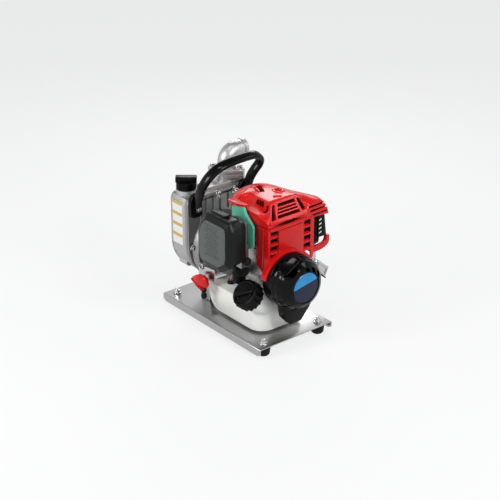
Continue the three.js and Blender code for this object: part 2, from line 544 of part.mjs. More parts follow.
piece("crankcase", crankcase(), MATERIAL.casting);
piece("cylinder", cylinder(), MATERIAL.casting);
piece("valve_cover", valveCover(), MATERIAL.black);
piece("piston", piston(), MATERIAL.casting);
const pinEnds = [BORE.y - PIN.length / 2, BORE.y + PIN.length / 2];
piece("piston_pin", alongY(...pinEnds, crankX, PISTON.pinHeight, PIN.radius), MATERIAL.steel);
piece("connecting_rod", connectingRod(), MATERIAL.casting);
piece("crankshaft", crankshaft(), MATERIAL.steel);
piece("spark_plug", sparkPlug(), MATERIAL.steel);
piece("plug_cap", plugCap(), MATERIAL.rubber);

function oilCap() {
  const { x, y, height, radius, length, stem, stemLength } = OIL_CAP;
  return join(alongX(x, x + length, y, height, radius), alongX(x - stemLength, x + OVER, y, height, stem));
}

piece("oil_cap", oilCap(), MATERIAL.black);

// Fan: the housing ring and the flywheel

function fanHousing() {
  const { front, back, radius, wall, plate, vents, vent, ventRing } = HOUSING;
  const z = CRANK.height;
  const outer = alongY(front, back, crankX, z, radius, ROUND_SIDES);
  let body = cut(outer, alongY(front - OVER, back - plate, crankX, z, radius - wall, ROUND_SIDES));
  body = cut(body, alongY(front, back + OVER, crankX, z, CRANK.radius + RUN, ROUND_SIDES));
  for (let k = 0; k < vents; k++) {
    const turn = (2 * Math.PI * (k + 0.5)) / vents;
    const [x, high] = [ventRing * Math.cos(turn), z + ventRing * Math.sin(turn)];
    body = cut(body, alongY(back - plate - OVER, back + OVER, x, high, vent));
  }
  return body;
}

function flywheel() {
  const { front, back, radius, disc, hub, blades, blade } = FLYWHEEL;
  const z = CRANK.height;
  let body = alongY(back - disc, back, crankX, z, radius, ROUND_SIDES);
  body = join(body, alongY(front, back, crankX, z, hub));
  const length = radius - hub;
  const y = [front, back - disc / 2];
  for (let k = 0; k < blades; k++) {
    const arm = box([hub - blade, hub - blade + length], y, [-blade / 2, blade / 2]);
    const turned = arm.rotate([0, (360 * (k + 0.5)) / blades, 0]);
    body = join(body, turned.translate([crankX, 0, z]));
  }
  return cut(body, alongY(front - OVER, back + OVER, crankX, z, CRANK.radius + GAP, ROUND_SIDES));
}

piece("fan_housing", fanHousing(), MATERIAL.casting);
piece("flywheel", flywheel(), MATERIAL.casting);

// Recoil starter: the case with its tail, the reel, the grip and the badge

const pullTurn = [-GRIP.pull[0], -GRIP.pull[1], -GRIP.pull[2]];
const along = (point, axis, length) => {
  const size = Math.hypot(...axis);
  return point.map((value, i) => value + (axis[i] * length) / size);
};

function starterDome(inset) {
  const length = STARTER.back - STARTER.front - inset;
  const start = inset ? -OVER : 0;
  const { radius, radiusShares, depthShares } = STARTER;
  const skin = radiusShares.map((share, i) => [share * radius - inset, depthShares[i] * length]);
  if (inset) skin.unshift([radius - inset, start]);
  return turned(
    [[0, start], ...skin, [0, length]], [crankX, STARTER.back, CRANK.height], [0, -1, 0], ROUND_SIDES,
  );
}

function starterTail(inset) {
  const { half, footHalf, top, bottom, shoulder, front, back, round } = TAIL;
  const side = half - inset;
  const foot = footHalf - inset;
  const low = bottom + inset;
  const shape = [[-side, top], [-side, shoulder, round], [-foot, low, round], [foot, low, round]];
  shape.push([side, shoulder, round], [side, top]);
  return prism("y", shape, [front + inset, inset ? back + OVER : back]);
}

function starterCase() {
  const { wall, back, postRadius, postEnd } = STARTER;
  const outer = starterDome(0);
  let body = join(outer, starterTail(0));
  body = cut(body, starterDome(wall), starterTail(TAIL.wall));
  body = join(body, alongY(STARTER.front + wall / 2, postEnd, crankX, CRANK.height, postRadius));
  const seat = along(GRIP.centre, pullTurn, GRIP.stem + GAP);
  const guide = rod(along(seat, pullTurn, ROPE.guideDepth), GRIP.pull, 2 * ROPE.guideDepth, ROPE.guide);
  body = join(body, guide.intersect(outer));
  body = cut(body, rod(seat, GRIP.pull, GRIP.length, GRIP.stemRadius + RUN));
  const ropeStart = along(seat, pullTurn, 2 * ROPE.guideDepth);
  return cut(body, rod(ropeStart, GRIP.pull, 3 * ROPE.guideDepth, ROPE.hole, SMALL_SIDES));
}

function starterReel() {
  const { radius, front, back, core, rim } = REEL;
  const bore = STARTER.postRadius + RUN;
  const profile = [[bore, 0], [radius, 0], [radius, rim], [core, rim + OVER / 4]];
  const width = back - front;
  profile.push([core, width - rim - OVER / 4], [radius, width - rim], [radius, width], [bore, width]);
  return turned(profile, [crankX, front, CRANK.height], [0, 1, 0]);
}

function starterGrip() {
  const { centre, bar, pull, length, radius, endRadius, stem, stemRadius } = GRIP;
  const other = bar.map((value) => -value);
  const half = length / 2;
  const halves = [bar, other].map((axis) => rod(centre, axis, half, radius, SMALL_SIDES, endRadius));
  return join(...halves, rod(along(centre, pullTurn, stem), pull, stem, stemRadius));
}

piece("starter_case", starterCase(), MATERIAL.glossBlack);
piece("starter_reel", starterReel(), MATERIAL.black);
piece("starter_grip", starterGrip(), MATERIAL.glossBlack);
const badgeY = [STARTER.front - BADGE.thick, STARTER.front];
piece("starter_badge", alongY(...badgeY, crankX, CRANK.height, BADGE.radius, FACE_SIDES), MATERIAL.blue);

// Red covers

function slotRows([left, right], top, count, [front, back]) {
  const rows = [];
  for (let k = 0; k < count; k++) {
    const high = top - k * LOUVRE.pitch;
    rows.push(box([left, right], [front, back], [high - LOUVRE.pitch + LOUVRE.bar, high]));
  }
  return rows;
}

function fanCover() {
  const { front, wall, left, right, bottom, top, stepX, corner } = FAN_COVER;
  const { hoodWall, hoodFront, hoodBottom, sideBack } = FAN_COVER;
  const { sideRise, rightBottom, rightBack, hubHole, rib } = FAN_COVER;
  const z = CRANK.height;
  const inner = HOUSING.radius + GAP;
  const plateY = [front, front + wall];
  const sheet = [[left, bottom], [left, top], [right, top, corner / 2], [right, rightBottom, corner]];
  sheet.push([stepX, rightBottom - corner], [stepX, bottom]);
  let body = prism("y", sheet, plateY);
  body = join(
    body, box([PANEL.left, PANEL.right], [front - PANEL.rise, front + wall], [PANEL.bottom, PANEL.top]),
  );
  const side = [[front, bottom], [sideBack, bottom + sideRise], [sideBack, top], [front, top]];
  body = join(body, prism("x", side, [left, left + wall]));
  body = join(body, box([right - wall, right], [front, rightBack], [rightBottom + corner, top - corner]));
  const ribY = (front + 2 * sideBack) / 3 - wall;
  body = join(body, box([left - rib, left + wall], [ribY - wall, ribY], [bottom + 2 * sideRise, top]));
  const through = [front - OVER, front + wall + OVER];
  body = cut(body, ...slotRows(LOUVRE.left, LOUVRE.top, LOUVRE.count, through));
  body = cut(body, ...slotRows(LOUVRE.right, LOUVRE.top, LOUVRE.count, through));
  const eyelet = [[EYELET.left, EYELET.top], [EYELET.right, EYELET.top], [EYELET.right, EYELET.bottom]];
  body = cut(body, prism("y", eyelet, through));
  const ring = alongY(hoodFront, front + wall, crankX, z, inner + hoodWall, HOOD_SIDES);
  const reach = inner + hoodWall + OVER;
  body = join(body, ring.intersect(box([-reach, reach], [hoodFront, front + wall], [hoodBottom, z + reach])));
  body = cut(body, alongY(hoodFront - OVER, front, crankX, z, inner, HOOD_SIDES));
  return cut(body, alongY(front - OVER, front + wall + OVER, crankX, z, hubHole, ROUND_SIDES));
}

function coverShell(inset) {
  const c = TOP_COVER;
  const floor = inset ? c.bottom - OVER : c.bottom;
  const [front, back, roof] = [c.front + inset, c.rear - inset, c.roof - inset];
  const rounded = inset ? 0 : 1;
  const sideView = [[front, floor], [front, c.sill - inset / 2, c.sillRound * rounded]];
  sideView.push([c.slopeEnd + inset / 2, roof, c.brow * rounded]);
  sideView.push([c.rearRoof, c.rearRoofHeight - inset, c.rearRound * rounded]);
  sideView.push([back, c.rearHeight - inset, c.rearRound * rounded], [back, floor]);
  const frontView = [[c.left + inset, floor], [c.left + inset, c.sill]];
  frontView.push(
    [c.roofLeft + inset / 2, roof, c.leftRound * rounded], [c.roofRight, roof, c.rightRound * rounded],
  );
  frontView.push([c.shoulder - inset / 2, c.shoulderHeight - inset, c.rightRound * rounded]);
  frontView.push([c.right - inset, c.tipHeight - inset / 2, c.tipRound * rounded], [c.right - inset, floor]);
  const across = prism("x", sideView, [c.left - OVER, c.right + OVER]);
  const [x0, x1, turn] = [c.left + inset, c.right - inset, c.planCorner - inset];
  const plan = [[x0, front], [x1, front], [x1, back, turn / 2], [x0, back, turn]];
  const upright = prism("z", plan, [c.bottom - 2 * OVER, c.roof + OVER]);
  return across.intersect(prism("y", frontView, [c.front - OVER, c.rear + OVER])).intersect(upright);
}

function topCover() {
  const c = TOP_COVER;
  let body = cut(coverShell(0), coverShell(c.wall));
  const floor = c.bottom - OVER;
  const outside = c.left - OVER;
  const inside = c.left + c.wall + OVER;
  const frontY = [c.front - OVER, c.front + c.wall + OVER];
  body = cut(body, box([outside, FAN_COVER.right + OVER], frontY, [floor, c.frontBottom]));
  body = cut(body, box([outside, inside], [c.front - OVER, c.openFront], [floor, c.frontBottom]));
  body = cut(body, box([outside, inside], [c.openFront, c.openBack], [floor, c.openTop]));
  body = cut(body, box([outside, inside], [c.openBack - OVER, c.rear + OVER], [floor, c.leftBottom]));
  body = cut(
    body, box([outside, c.right + OVER], [c.rear - c.wall - OVER, c.rear + OVER], [floor, c.rearBottom]),
  );
  const slopeY = [c.front - OVER, c.slopeEnd + OVER];
  for (const shares of GRILLE.slotShares) {
    const slot = spread([GRILLE.left, GRILLE.right], [GRILLE.bottom, GRILLE.top], shares);
    body = cut(body, prism("y", slot, slopeY));
  }
  const slots = c.shoulderSlots;
  for (let k = 0; k < slots.count; k++) {
    const z = slots.bottom + k * slots.pitch;
    body = cut(body, box([slots.left, slots.right], slopeY, [z, z + slots.height]));
  }
  const w = c.window;
  body = cut(body, box([outside, c.roofLeft], [w.front, w.back], [w.bottom, w.top]));
  const postBottom = BARREL.head + VALVE_COVER.height + GAP;
  const postTop = c.roof - (2 * (c.roof - c.rearRoofHeight)) / 3;
  body = join(body, alongZ(postBottom, postTop, crankX, BORE.y, c.post));
  const under = c.rearRoofHeight - c.wall;
  const ring = alongZ(under, c.roof, c.pocketX, c.pocketY, c.pocket + c.wall, MIDDLE_SIDES).intersect(
    coverShell(0),
  );
  body = join(body, ring);
  body = cut(
    body, alongZ(under + c.pocketDepth, c.roof + OVER, c.pocketX, c.pocketY, c.pocket, MIDDLE_SIDES),
  );
  return cut(body, alongZ(under - OVER, c.roof, c.pocketX, c.pocketY, c.pocketHole));
}

piece("fan_cover", fanCover(), MATERIAL.red);
piece("top_cover", topCover(), MATERIAL.red);

// Exhaust: muffler, its screen and guard bar, and the deflector below

function muffler() {
  const { left, right, front, back, bottom, top, corner, wall, outlet, outletHeight, outletY } = MUFFLER;
  const shell = (inset) => {
    const [y0, y1, z0, z1] = [front + inset, back - inset, bottom + inset, top - inset];
    const section = [[y0, z0, corner], [y1, z0, corner], [y1, z1, corner], [y0, z1, corner]];
    return prism("x", section, [left + inset, right - inset]);
  };
  const flangeStart = BARREL.exhaustEnd + GAP;
  let body = join(shell(0), alongX(flangeStart, left + wall, BORE.y, BARREL.portHeight, BARREL.bossRadius));
  body = cut(body, shell(wall));
  body = cut(body, alongX(flangeStart - OVER, left + 2 * wall, BORE.y, BARREL.portHeight, BARREL.portRadius));
  return cut(body, alongX(right - 2 * wall, right + OVER, outletY, outletHeight, outlet));
}

function mufflerScreen() {
  const s = SCREEN;
  const frame = [[s.left, s.bottom], [s.right, s.bottom], [s.rightTop, s.top], [s.left, s.top]];
  const stay = box([s.left, s.left + s.post], [s.back - OVER / 2, s.stayEnd], [s.top - 2 * s.post, s.top]);
  let body = join(prism("y", frame, [s.front, s.back]), stay);
  const pitch = (s.top - s.bottom - 2 * s.post) / s.slots;
  const [x0, x1] = [s.left + s.post / 2, s.rightTop - s.post];
  for (let k = 0; k < s.slots; k++) {
    const z = s.bottom + s.post + k * pitch;
    const slot = [[x0, z], [x1, z + s.slant], [x1, z + s.slant + s.slot], [x0, z + s.slot]];
    body = cut(body, prism("y", slot, [s.front - OVER, s.back + OVER]));
  }
  return body;
}

function deflector() {
  const { front, sheet, back, strap, shelf, left, right, bottom, top, shares } = DEFLECTOR;
  const panel = prism("y", spread([left, right], [bottom, top], shares), [front, front + sheet]);
  const arm = box(strap, [front + sheet / 2, back], [shelf - 2 * sheet, shelf - sheet]);
  return join(panel, arm, box(strap, [back - sheet, back], [shelf - 2 * sheet, MUFFLER.bottom - GAP]));
}

piece("muffler", muffler(), MATERIAL.black);
piece("muffler_screen", mufflerScreen(), MATERIAL.black);
const guardShape = spread([GUARD.left, GUARD.right], [GUARD.bottom, GUARD.top], GUARD.shares);
piece("muffler_guard", prism("y", guardShape, [GUARD.front, GUARD.back]), MATERIAL.red);
piece("heat_deflector", deflector(), MATERIAL.sheet);

// Intake: insulator, carburettor, primer bulb and air cleaner

function insulator() {
  const { left, right, front, back, bottom, top, corner, shares } = INSULATOR;
  const shape = spread([front, back], [bottom, top], shares.map(([u, v]) => [u, v, corner]));
  const plate = prism("x", shape, [left, right]);
  return cut(plate, alongX(left - OVER, right + OVER, BORE.y, BARREL.portHeight, BARREL.portRadius));
}

function carburettor() {
  const c = CARB;
  const block = [[c.front, c.bottom, c.corner], [c.back, c.bottom, c.corner]];
  block.push([c.back, c.top, c.corner], [c.front, c.top, c.corner]);
  let body = prism("x", block, [c.left, c.right]);
  body = join(
    body, box([c.left, c.pumpRight], [c.pumpFront, c.pumpBack], [c.pumpBottom, c.bottom + c.corner]),
  );
  body = cut(body, alongX(c.left - OVER, c.right + OVER, BORE.y, BARREL.portHeight, BARREL.portRadius));
  const bulbEnd = c.pumpFront + BULB.boreDepth;
  return cut(body, alongY(c.pumpFront - OVER, bulbEnd, BULB.x, BULB.height, BULB.stem + RUN));
}

function primerBulb() {
  const head = CARB.pumpFront - BULB.lift;
  const { x, height, radius, length, stem, stemDepth } = BULB;
  const dome = BULB.domeShares.map(([out, up]) => [out * radius, up * length]);
  const button = turned(dome, [x, head, height], [0, -1, 0], MIDDLE_SIDES);
  return join(button, alongY(head - OVER / 2, CARB.pumpFront + stemDepth, x, height, stem));
}

function airOutline(inset) {
  const { front, back, bottom, top, chamfers } = AIR;
  const [y0, y1, z0, z1] = [front + inset, back - inset, bottom + inset, top - inset];
  const { backTop, frontTop, frontBottom, round } = chamfers;
  const shape = [[y0, z0 + frontBottom[1], round], [y0 + frontBottom[0], z0, round], [y1, z0, 2 * round]];
  shape.push([y1, z1 - backTop[1], round], [y1 - backTop[0], z1, round]);
  shape.push([y0 + frontTop[0], z1, round / 2], [y0, z1 - frontTop[1], round / 2]);
  return shape;
}

function airCase() {
  const { split, inner, wall, inset, neckFront, neckBack, neckBottom, neckTop, neckRound } = AIR;
  const start = split + GAP;
  const neckEnd = CARB.left - GAP;
  const neck = (step) => {
    const [y0, y1, z0, z1] = [neckFront + step, neckBack - step, neckBottom + step, neckTop - step];
    const r = neckRound - step;
    return [[y0, z0, r], [y1, z0, r], [y1, z1, r], [y0, z1, r]];
  };
  let body = join(
    prism("x", airOutline(inset), [start, inner]), prism("x", neck(0), [inner - wall, neckEnd]),
  );
  body = cut(body, prism("x", airOutline(inset + wall), [start - OVER, inner - wall]));
  body = cut(body, prism("x", neck(wall), [inner - wall - OVER, neckEnd - wall]));
  body = cut(
    body, alongX(neckEnd - wall - OVER, neckEnd + OVER, BORE.y, BARREL.portHeight, BARREL.portRadius),
  );
  const pinEnd = AIR.back - inset;
  return cut(body, alongY(pinEnd - wall - OVER, pinEnd + OVER, CHOKE.x, CHOKE.height, CHOKE.pin + RUN));
}

function airCover() {
  const { outer, split, wall, panelInset, panelRise, intake, intakes, back, bottom, chamfers, front } = AIR;
  const face = outer + panelRise;
  let body = join(
    prism("x", airOutline(0), [face, split]), prism("x", airOutline(panelInset), [outer, split]),
  );
  body = cut(body, prism("x", airOutline(wall), [face + wall, split + OVER]));
  const room = back - front - chamfers.frontBottom[0] - 4 * intake;
  for (let k = 0; k < intakes; k++) {
    const y = back - 2 * intake - (k * room) / intakes;
    body = cut(
      body, box([face + wall, split - wall], [y - intake, y], [bottom - OVER, bottom + wall + OVER]),
    );
  }
  return body;
}

function chokeLever() {
  const { x, height, length, width, thick, hub, pin, pinLength } = CHOKE;
  const face = AIR.back - AIR.inset + GAP;
  const y = [face, face + thick];
  const hubDisc = alongY(...y, x, height, hub);
  const blade = box([x - width / 2, x + width / 2], y, [height, height + length]);
  const knob = alongY(...y, x, height + length, width / 2);
  return join(hubDisc, blade, knob, alongY(face - pinLength, face + thick / 2, x, height, pin));
}

piece("insulator", insulator(), MATERIAL.green);
piece("carburettor", carburettor(), MATERIAL.darkCasting);
piece("primer_bulb", primerBulb(), MATERIAL.rubber);
piece("air_cleaner_case", airCase(), MATERIAL.airGreen);
piece("air_cleaner_cover", airCover(), MATERIAL.airGreen);
const filterInset = AIR.inset + AIR.wall + GAP;
piece("filter_element", prism("x", airOutline(filterInset), [FILTER.front, FILTER.back]), MATERIAL.foam);
piece("choke_lever", chokeLever(), MATERIAL.black);

// Fuel: tank, filler cap with its gasket, hose and grommet

const tilt = THREE.MathUtils.degToRad(FILLER.tilt);
const neckAxis = [-Math.cos(tilt), 0, Math.sin(tilt)];
const capInside = FUEL_CAP.height - FUEL_CAP.top;
const neckTop = capInside - GASKET.thick - 2 * GAP;

function tankShell(inset) {
  const { left, right, front, back, bottom, top, bottomCorner, topCorner, endCorner, backCorner } = TANK;
  const [x0, x1, y0, y1] = [left + inset, right - inset, front + inset, back - inset];
  const [z0, z1] = [bottom + inset, top - inset];
  const low = bottomCorner - inset;
  const high = topCorner - inset;
  const end = endCorner - inset;
  const heel = backCorner - inset;
  const frontView = [[x0, z0, low], [x1, z0, low], [x1, z1, high], [x0, z1, high]];
  const topView = [[x0, y0, end], [x1, y0, end], [x1, y1, end], [x0, y1, end]];
  const sideView = [[y0, z0, low], [y1, z0, heel], [y1, z1, high], [y0, z1, high]];
  return prism("y", frontView, [y0, y1]).intersect(
    prism("z", topView, [z0, z1]), prism("x", sideView, [x0, x1]),
  );
}

function fuelTank() {
  const { wall, skids, skidWidth, skidHalf, bottom, top, bottomCorner, grommetX, grommetY, grommet } = TANK;
  const { cap, neckRadius, neckBore, neckBelow, boreBelow } = FILLER;
  const backward = neckAxis.map((value) => -value);
  let body = tankShell(0);
  for (const y of skids) {
    const skid = box(
      [-skidHalf, skidHalf], [y - skidWidth / 2, y + skidWidth / 2], [plateTop, bottom + bottomCorner / 3],
    );
    body = join(body, skid);
  }
  body = join(
    body, rod(along(cap, backward, neckBelow), neckAxis, neckBelow + neckTop, neckRadius, ROUND_SIDES),
  );
  body = cut(body, tankShell(wall));
  body = cut(
    body, rod(along(cap, backward, boreBelow), neckAxis, boreBelow + neckTop + OVER, neckBore, ROUND_SIDES),
  );
  return cut(body, alongZ(top - wall - OVER, top + OVER, grommetX, grommetY, grommet));
}

function fuelCap() {
  const { radius, height, skirt, grip, gripRise, gripLength } = FUEL_CAP;
  const { cap } = FILLER;
  let body = rod(cap, neckAxis, height, radius, MIDDLE_SIDES);
  const handle = box(
    [-gripLength / 2, gripLength / 2], [-grip / 2, grip / 2], [height - OVER, height + gripRise],
  );
  body = join(body, place(handle, neckAxis, cap));
  return cut(body, rod(along(cap, neckAxis, -OVER), neckAxis, capInside + OVER, skirt, ROUND_SIDES));
}

function ringGasket(start, axis, outer, inner) {
  const ring = rod(start, axis, GASKET.thick, outer, ROUND_SIDES);
  return cut(ring, rod(along(start, axis, -OVER), axis, GASKET.thick + 2 * OVER, inner, ROUND_SIDES));
}

piece("fuel_tank", fuelTank(), MATERIAL.tank);
piece("fuel_cap", fuelCap(), MATERIAL.black);
const capGasketStart = along(FILLER.cap, neckAxis, neckTop + GAP);
piece(
  "fuel_cap_gasket",
  ringGasket(capGasketStart, neckAxis, FILLER.neckRadius, FILLER.neckBore),
  MATERIAL.rubber,
);

function fuelHose() {
  const { grommetX: x, grommetY: y, top, wall } = TANK;
  const { radius, waist, height, below } = GROMMET;
  const collar = [[0, -below - wall], [waist, -below - wall], [radius, -wall - GAP], [waist, -wall - GAP]];
  collar.push([waist, GAP], [radius, GAP], [waist, height], [0, height]);
  const end = [BULB.x, (CARB.pumpFront + CARB.pumpBack) / 2, CARB.pumpBottom - GAP];
  const points = [[x, y, top - 2 * height], [x, y, top + 3 * height]];
  points.push([(2 * x + end[0]) / 3, (2 * y + end[1]) / 3, (top + end[2]) / 2]);
  points.push([end[0], end[1], end[2] - 2 * height], end);
  return join(
    tube(points, HOSE.radius, HOSE.sides, HOSE.steps), turned(collar, [x, y, top], [0, 0, 1], SMALL_SIDES),
  );
}

piece("fuel_hose", fuelHose(), MATERIAL.hose);

// Pump: cover with its bell, casing, volute, impeller and seal

function pumpOutline(inset) {
  const { radius, centre, top, corner } = CASING;
  const side = radius - inset;
  const round = corner - inset / 2;
  const shape = [[side, top - inset, round], [-side, top - inset, round]];
  const steps = ROUND_SIDES / 2;
  for (let k = 0; k <= steps; k++) {
    const turn = Math.PI * (1 + k / steps);
    shape.push([side * Math.cos(turn), centre + side * Math.sin(turn)]);
  }
  return shape;
}

const screwHoles = [HANDLE.footLeft, HANDLE.footRight];

function pumpCover() {
  const { face, plate, boss, bossLength, sealRadius, sealDepth, bell, bellWall } = COVER;
  const { windowWidth, windowStart, windowEnd } = COVER;
  const z = CRANK.height;
  let body = prism("y", pumpOutline(0), [face, casingFront]);
  const outside = bell.shares.map(([out, far]) => [out * bell.radius, far * bell.depth]);
  const inside = outside.map(([radius, far]) => [radius - bellWall, far]);
  const hood = (profile, start) => [[0, start], [profile[0][0], start], ...profile, [0, profile.at(-1)[1]]];
  body = join(body, turned(hood(outside, -OVER / 2), [crankX, face, z], [0, -1, 0]));
  const { left, sheet, bossY, bossHeight, boss: stud, bossStart } = BRACKET;
  body = join(body, alongX(left + sheet + GAP, bossStart, bossY, bossHeight, stud));
  inside.push([inside.at(-1)[0], inside.at(-1)[1] + OVER]);
  body = cut(body, turned(hood(inside, OVER / 4), [crankX, face, z], [0, -1, 0]));
  body = join(body, alongY(face - bossLength, face + OVER / 2, crankX, z, boss));
  const windowY = [face - windowEnd, face - windowStart];
  const sides = box([-2 * bell.radius, 2 * bell.radius], windowY, [z - windowWidth / 2, z + windowWidth / 2]);
  const hub = alongY(...windowY, crankX, z, boss + bellWall);
  body = cut(body, cut(sides, hub));
  body = cut(body, alongY(casingFront - sealDepth, casingFront + OVER, crankX, z, sealRadius, ROUND_SIDES));
  body = cut(body, alongY(face - bossLength - OVER, casingFront, crankX, z, CRANK.radius + RUN, ROUND_SIDES));
  for (const x of screwHoles) {
    body = cut(body, alongY(face - OVER, face + HANDLE.boltDepth, x, HANDLE.boltHeight, SCREW.radius + GAP));
  }
  return body;
}

const earTurn = THREE.MathUtils.degToRad(ELBOW.boltTurn);
const ears = [-1, 1].map((sign) => {
  const reach = (sign * ELBOW.boltSpan) / 2;
  return [CASING.outletX + reach * Math.cos(earTurn), CASING.outletY + reach * Math.sin(earTurn)];
});

function ovalFlange([from, to]) {
  const { ear, hub, steps } = ELBOW;
  const { outletX, outletY } = CASING;
  const shape = new THREE.Shape();
  const tip = Math.acos((hub - ear) / (ELBOW.boltSpan / 2));
  const arc = (cx, cy, radius, start, end) => [...Array(steps + 1).keys()].map((k) => {
    const turn = start + ((end - start) * k) / steps;
    return new THREE.Vector2(cx + radius * Math.cos(turn), cy + radius * Math.sin(turn));
  });
  const outward = earTurn;
  const points = [
    ...arc(...ears[1], ear, outward - tip, outward + tip),
    ...arc(outletX, outletY, hub, outward + tip, outward + Math.PI - tip),
    ...arc(...ears[0], ear, outward + Math.PI - tip, outward + Math.PI + tip),
    ...arc(outletX, outletY, hub, outward + Math.PI + tip, outward + 2 * Math.PI - tip),
  ];
  shape.setFromPoints(points);
  return prism("z", shape, [from, to]);
}

function pumpCasing() {
  const c = CASING;
  const start = casingFront + GAP;
  const flangeZ = [c.throatTop - c.throatPlate, c.throatTop];
  let body = prism("y", pumpOutline(0), [start, c.back]);
  for (const x of [-c.legX, c.legX]) {
    const padX = [x - c.padWidth / 2, x + c.padWidth / 2];
    const legX = [x - c.legWidth / 2, x + c.legWidth / 2];
    const y = [c.legFront, c.legBack];
    body = join(
      body, box(padX, y, [plateTop, plateTop + c.pad]), box(legX, y, [plateTop, c.centre - c.radius / 2]),
    );
  }
  const neckTopZ = PRIMING_CAP.base + PRIMING_CAP.height - PRIMING_CAP.top - GASKET.thick - 2 * GAP;
  body = join(body, alongZ(c.top - c.wall, neckTopZ, c.fillerX, c.fillerY, c.fillerRadius, MIDDLE_SIDES));
  body = join(body, alongZ(c.top - c.wall, c.collarTop, c.fillerX, c.fillerY, c.collar, MIDDLE_SIDES));
  const throatStart = [c.outletX, c.outletY, c.top - c.wall];
  const throat = rod(throatStart, [0, 0, 1], flangeZ[1] - c.top, c.throatHalf, ROUND_SIDES, ELBOW.hub);
  body = join(body, throat, ovalFlange(flangeZ));
  body = join(body, alongZ(DRAIN.bossBottom, c.centre - c.radius / 2, DRAIN.x, DRAIN.y, DRAIN.boss));
  let cavity = prism("y", pumpOutline(c.wall), [start - OVER, c.back - c.wall]);
  const duct = (inset) => {
    const eye = alongY(
      VOLUTE.back + GAP, c.back, crankX, CRANK.height, VOLUTE.eye + c.ductWall - inset, ROUND_SIDES,
    );
    const port = alongY(
      VOLUTE.back + GAP, c.back, crankX, c.portHeight, c.portBore + c.ductWall - inset, ROUND_SIDES,
    );
    return wasm.Manifold.hull([eye, port]);
  };
  cavity = cut(cavity, duct(0));
  body = cut(body, cavity);
  const passage = duct(c.ductWall).translate([0, -c.wall, 0]);
  body = cut(
    body, join(passage, alongY(VOLUTE.back, c.back - c.wall, crankX, c.portHeight, c.portBore, ROUND_SIDES)),
  );
  body = cut(
    body, alongY(c.back - c.wall - OVER, c.back + OVER, crankX, c.portHeight, c.portBore, ROUND_SIDES),
  );
  body = cut(
    body, alongZ(c.top - c.wall - OVER, neckTopZ + OVER, c.fillerX, c.fillerY, c.fillerBore, ROUND_SIDES),
  );
  body = cut(
    body, alongZ(c.top - c.wall - OVER, flangeZ[1] + OVER, c.outletX, c.outletY, c.outletBore, ROUND_SIDES),
  );
  body = cut(body, alongZ(DRAIN.bossBottom - OVER, c.centre, DRAIN.x, DRAIN.y, DRAIN.stem + RUN));
  for (const [x, y] of ears) {
    body = cut(body, alongZ(c.top + OVER, flangeZ[1] + OVER, x, y, SCREW.radius + GAP));
  }
  return body;
}

function volute() {
  const { radius, inner, back, plate, eye, outlet } = VOLUTE;
  const z = CRANK.height;
  let body = alongY(casingFront + GAP, back, crankX, z, radius, FACE_SIDES);
  body = cut(body, alongY(casingFront, back - plate, crankX, z, inner, FACE_SIDES));
  body = cut(body, alongY(back - plate - OVER, back + OVER, crankX, z, eye, ROUND_SIDES));
  return cut(body, box(outlet, [casingFront + plate, back - plate], [z, z + radius + OVER]));
}

function impeller() {
  const { radius, front, disc, depth, vanes, vane, hub, sweep, steps } = IMPELLER;
  const z = CRANK.height;
  let body = alongY(front, front + disc, crankX, z, radius, ROUND_SIDES);
  body = join(body, alongY(front, front + depth, crankX, z, hub, MIDDLE_SIDES));
  for (let k = 0; k < vanes; k++) {
    const edge = (side) => [...Array(steps + 1).keys()].map((i) => {
      const far = hub - vane + ((radius - hub + vane) * i) / steps;
      const bend = THREE.MathUtils.degToRad((sweep * i) / steps + (360 * k) / vanes);
      const shift = (side * vane) / 2 / far;
      return [crankX + far * Math.cos(bend + shift), z + far * Math.sin(bend + shift)];
    });
    body = join(body, prism("y", [...edge(-1), ...edge(1).reverse()], [front + disc / 2, front + depth]));
  }
  return cut(body, alongY(front - OVER, front + depth + OVER, crankX, z, CRANK.radius + GAP, ROUND_SIDES));
}

function shaftSeal() {
  const y = [casingFront - COVER.sealDepth + GAP, casingFront];
  const ring = alongY(...y, crankX, CRANK.height, COVER.sealRadius - GAP, ROUND_SIDES);
  return cut(ring, alongY(y[0] - OVER, y[1] + OVER, crankX, CRANK.height, CRANK.radius + RUN, ROUND_SIDES));
}

piece("pump_cover", pumpCover(), MATERIAL.casting);
piece("pump_casing", pumpCasing(), MATERIAL.casting);
piece("volute", volute(), MATERIAL.darkCasting);
piece("impeller", impeller(), MATERIAL.casting);
piece("shaft_seal", shaftSeal(), MATERIAL.black);

// Suction port with its check valve

function suctionPort() {
  const p = PORT;
  const start = CASING.back + GAP;
  const z = CASING.portHeight;
  let body = alongY(start, p.flangeEnd, crankX, z, p.flangeRadius, ROUND_SIDES);
  body = join(body, alongY(start, p.seat + p.seatWall, crankX, z, p.body, ROUND_SIDES));
  body = join(body, alongY(p.seat, p.end, crankX, z, p.nozzle, ROUND_SIDES));
  body = cut(body, alongY(start - OVER, p.seat, crankX, z, CASING.portBore, ROUND_SIDES));
  body = cut(body, alongY(p.seat - OVER, p.end + OVER, crankX, z, p.bore, ROUND_SIDES));
  const pinHeight = z + FLAP.arm;
  for (const side of [-1, 1]) {
    const x = [side * p.earGap, side * (p.earGap + p.ear)].sort((a, b) => a - b);
    const earY = [p.seat - p.earLength, p.seat + OVER / 2];
    body = join(body, box(x, earY, [pinHeight - p.earRise, pinHeight + p.earRise / 2]));
  }
  const pinY = FLAP.back - FLAP.thick / 2;
  return cut(
    body, alongX(-p.earGap - p.ear - OVER, p.earGap + p.ear + OVER, pinY, pinHeight, FLAP.pin + RUN),
  );
}

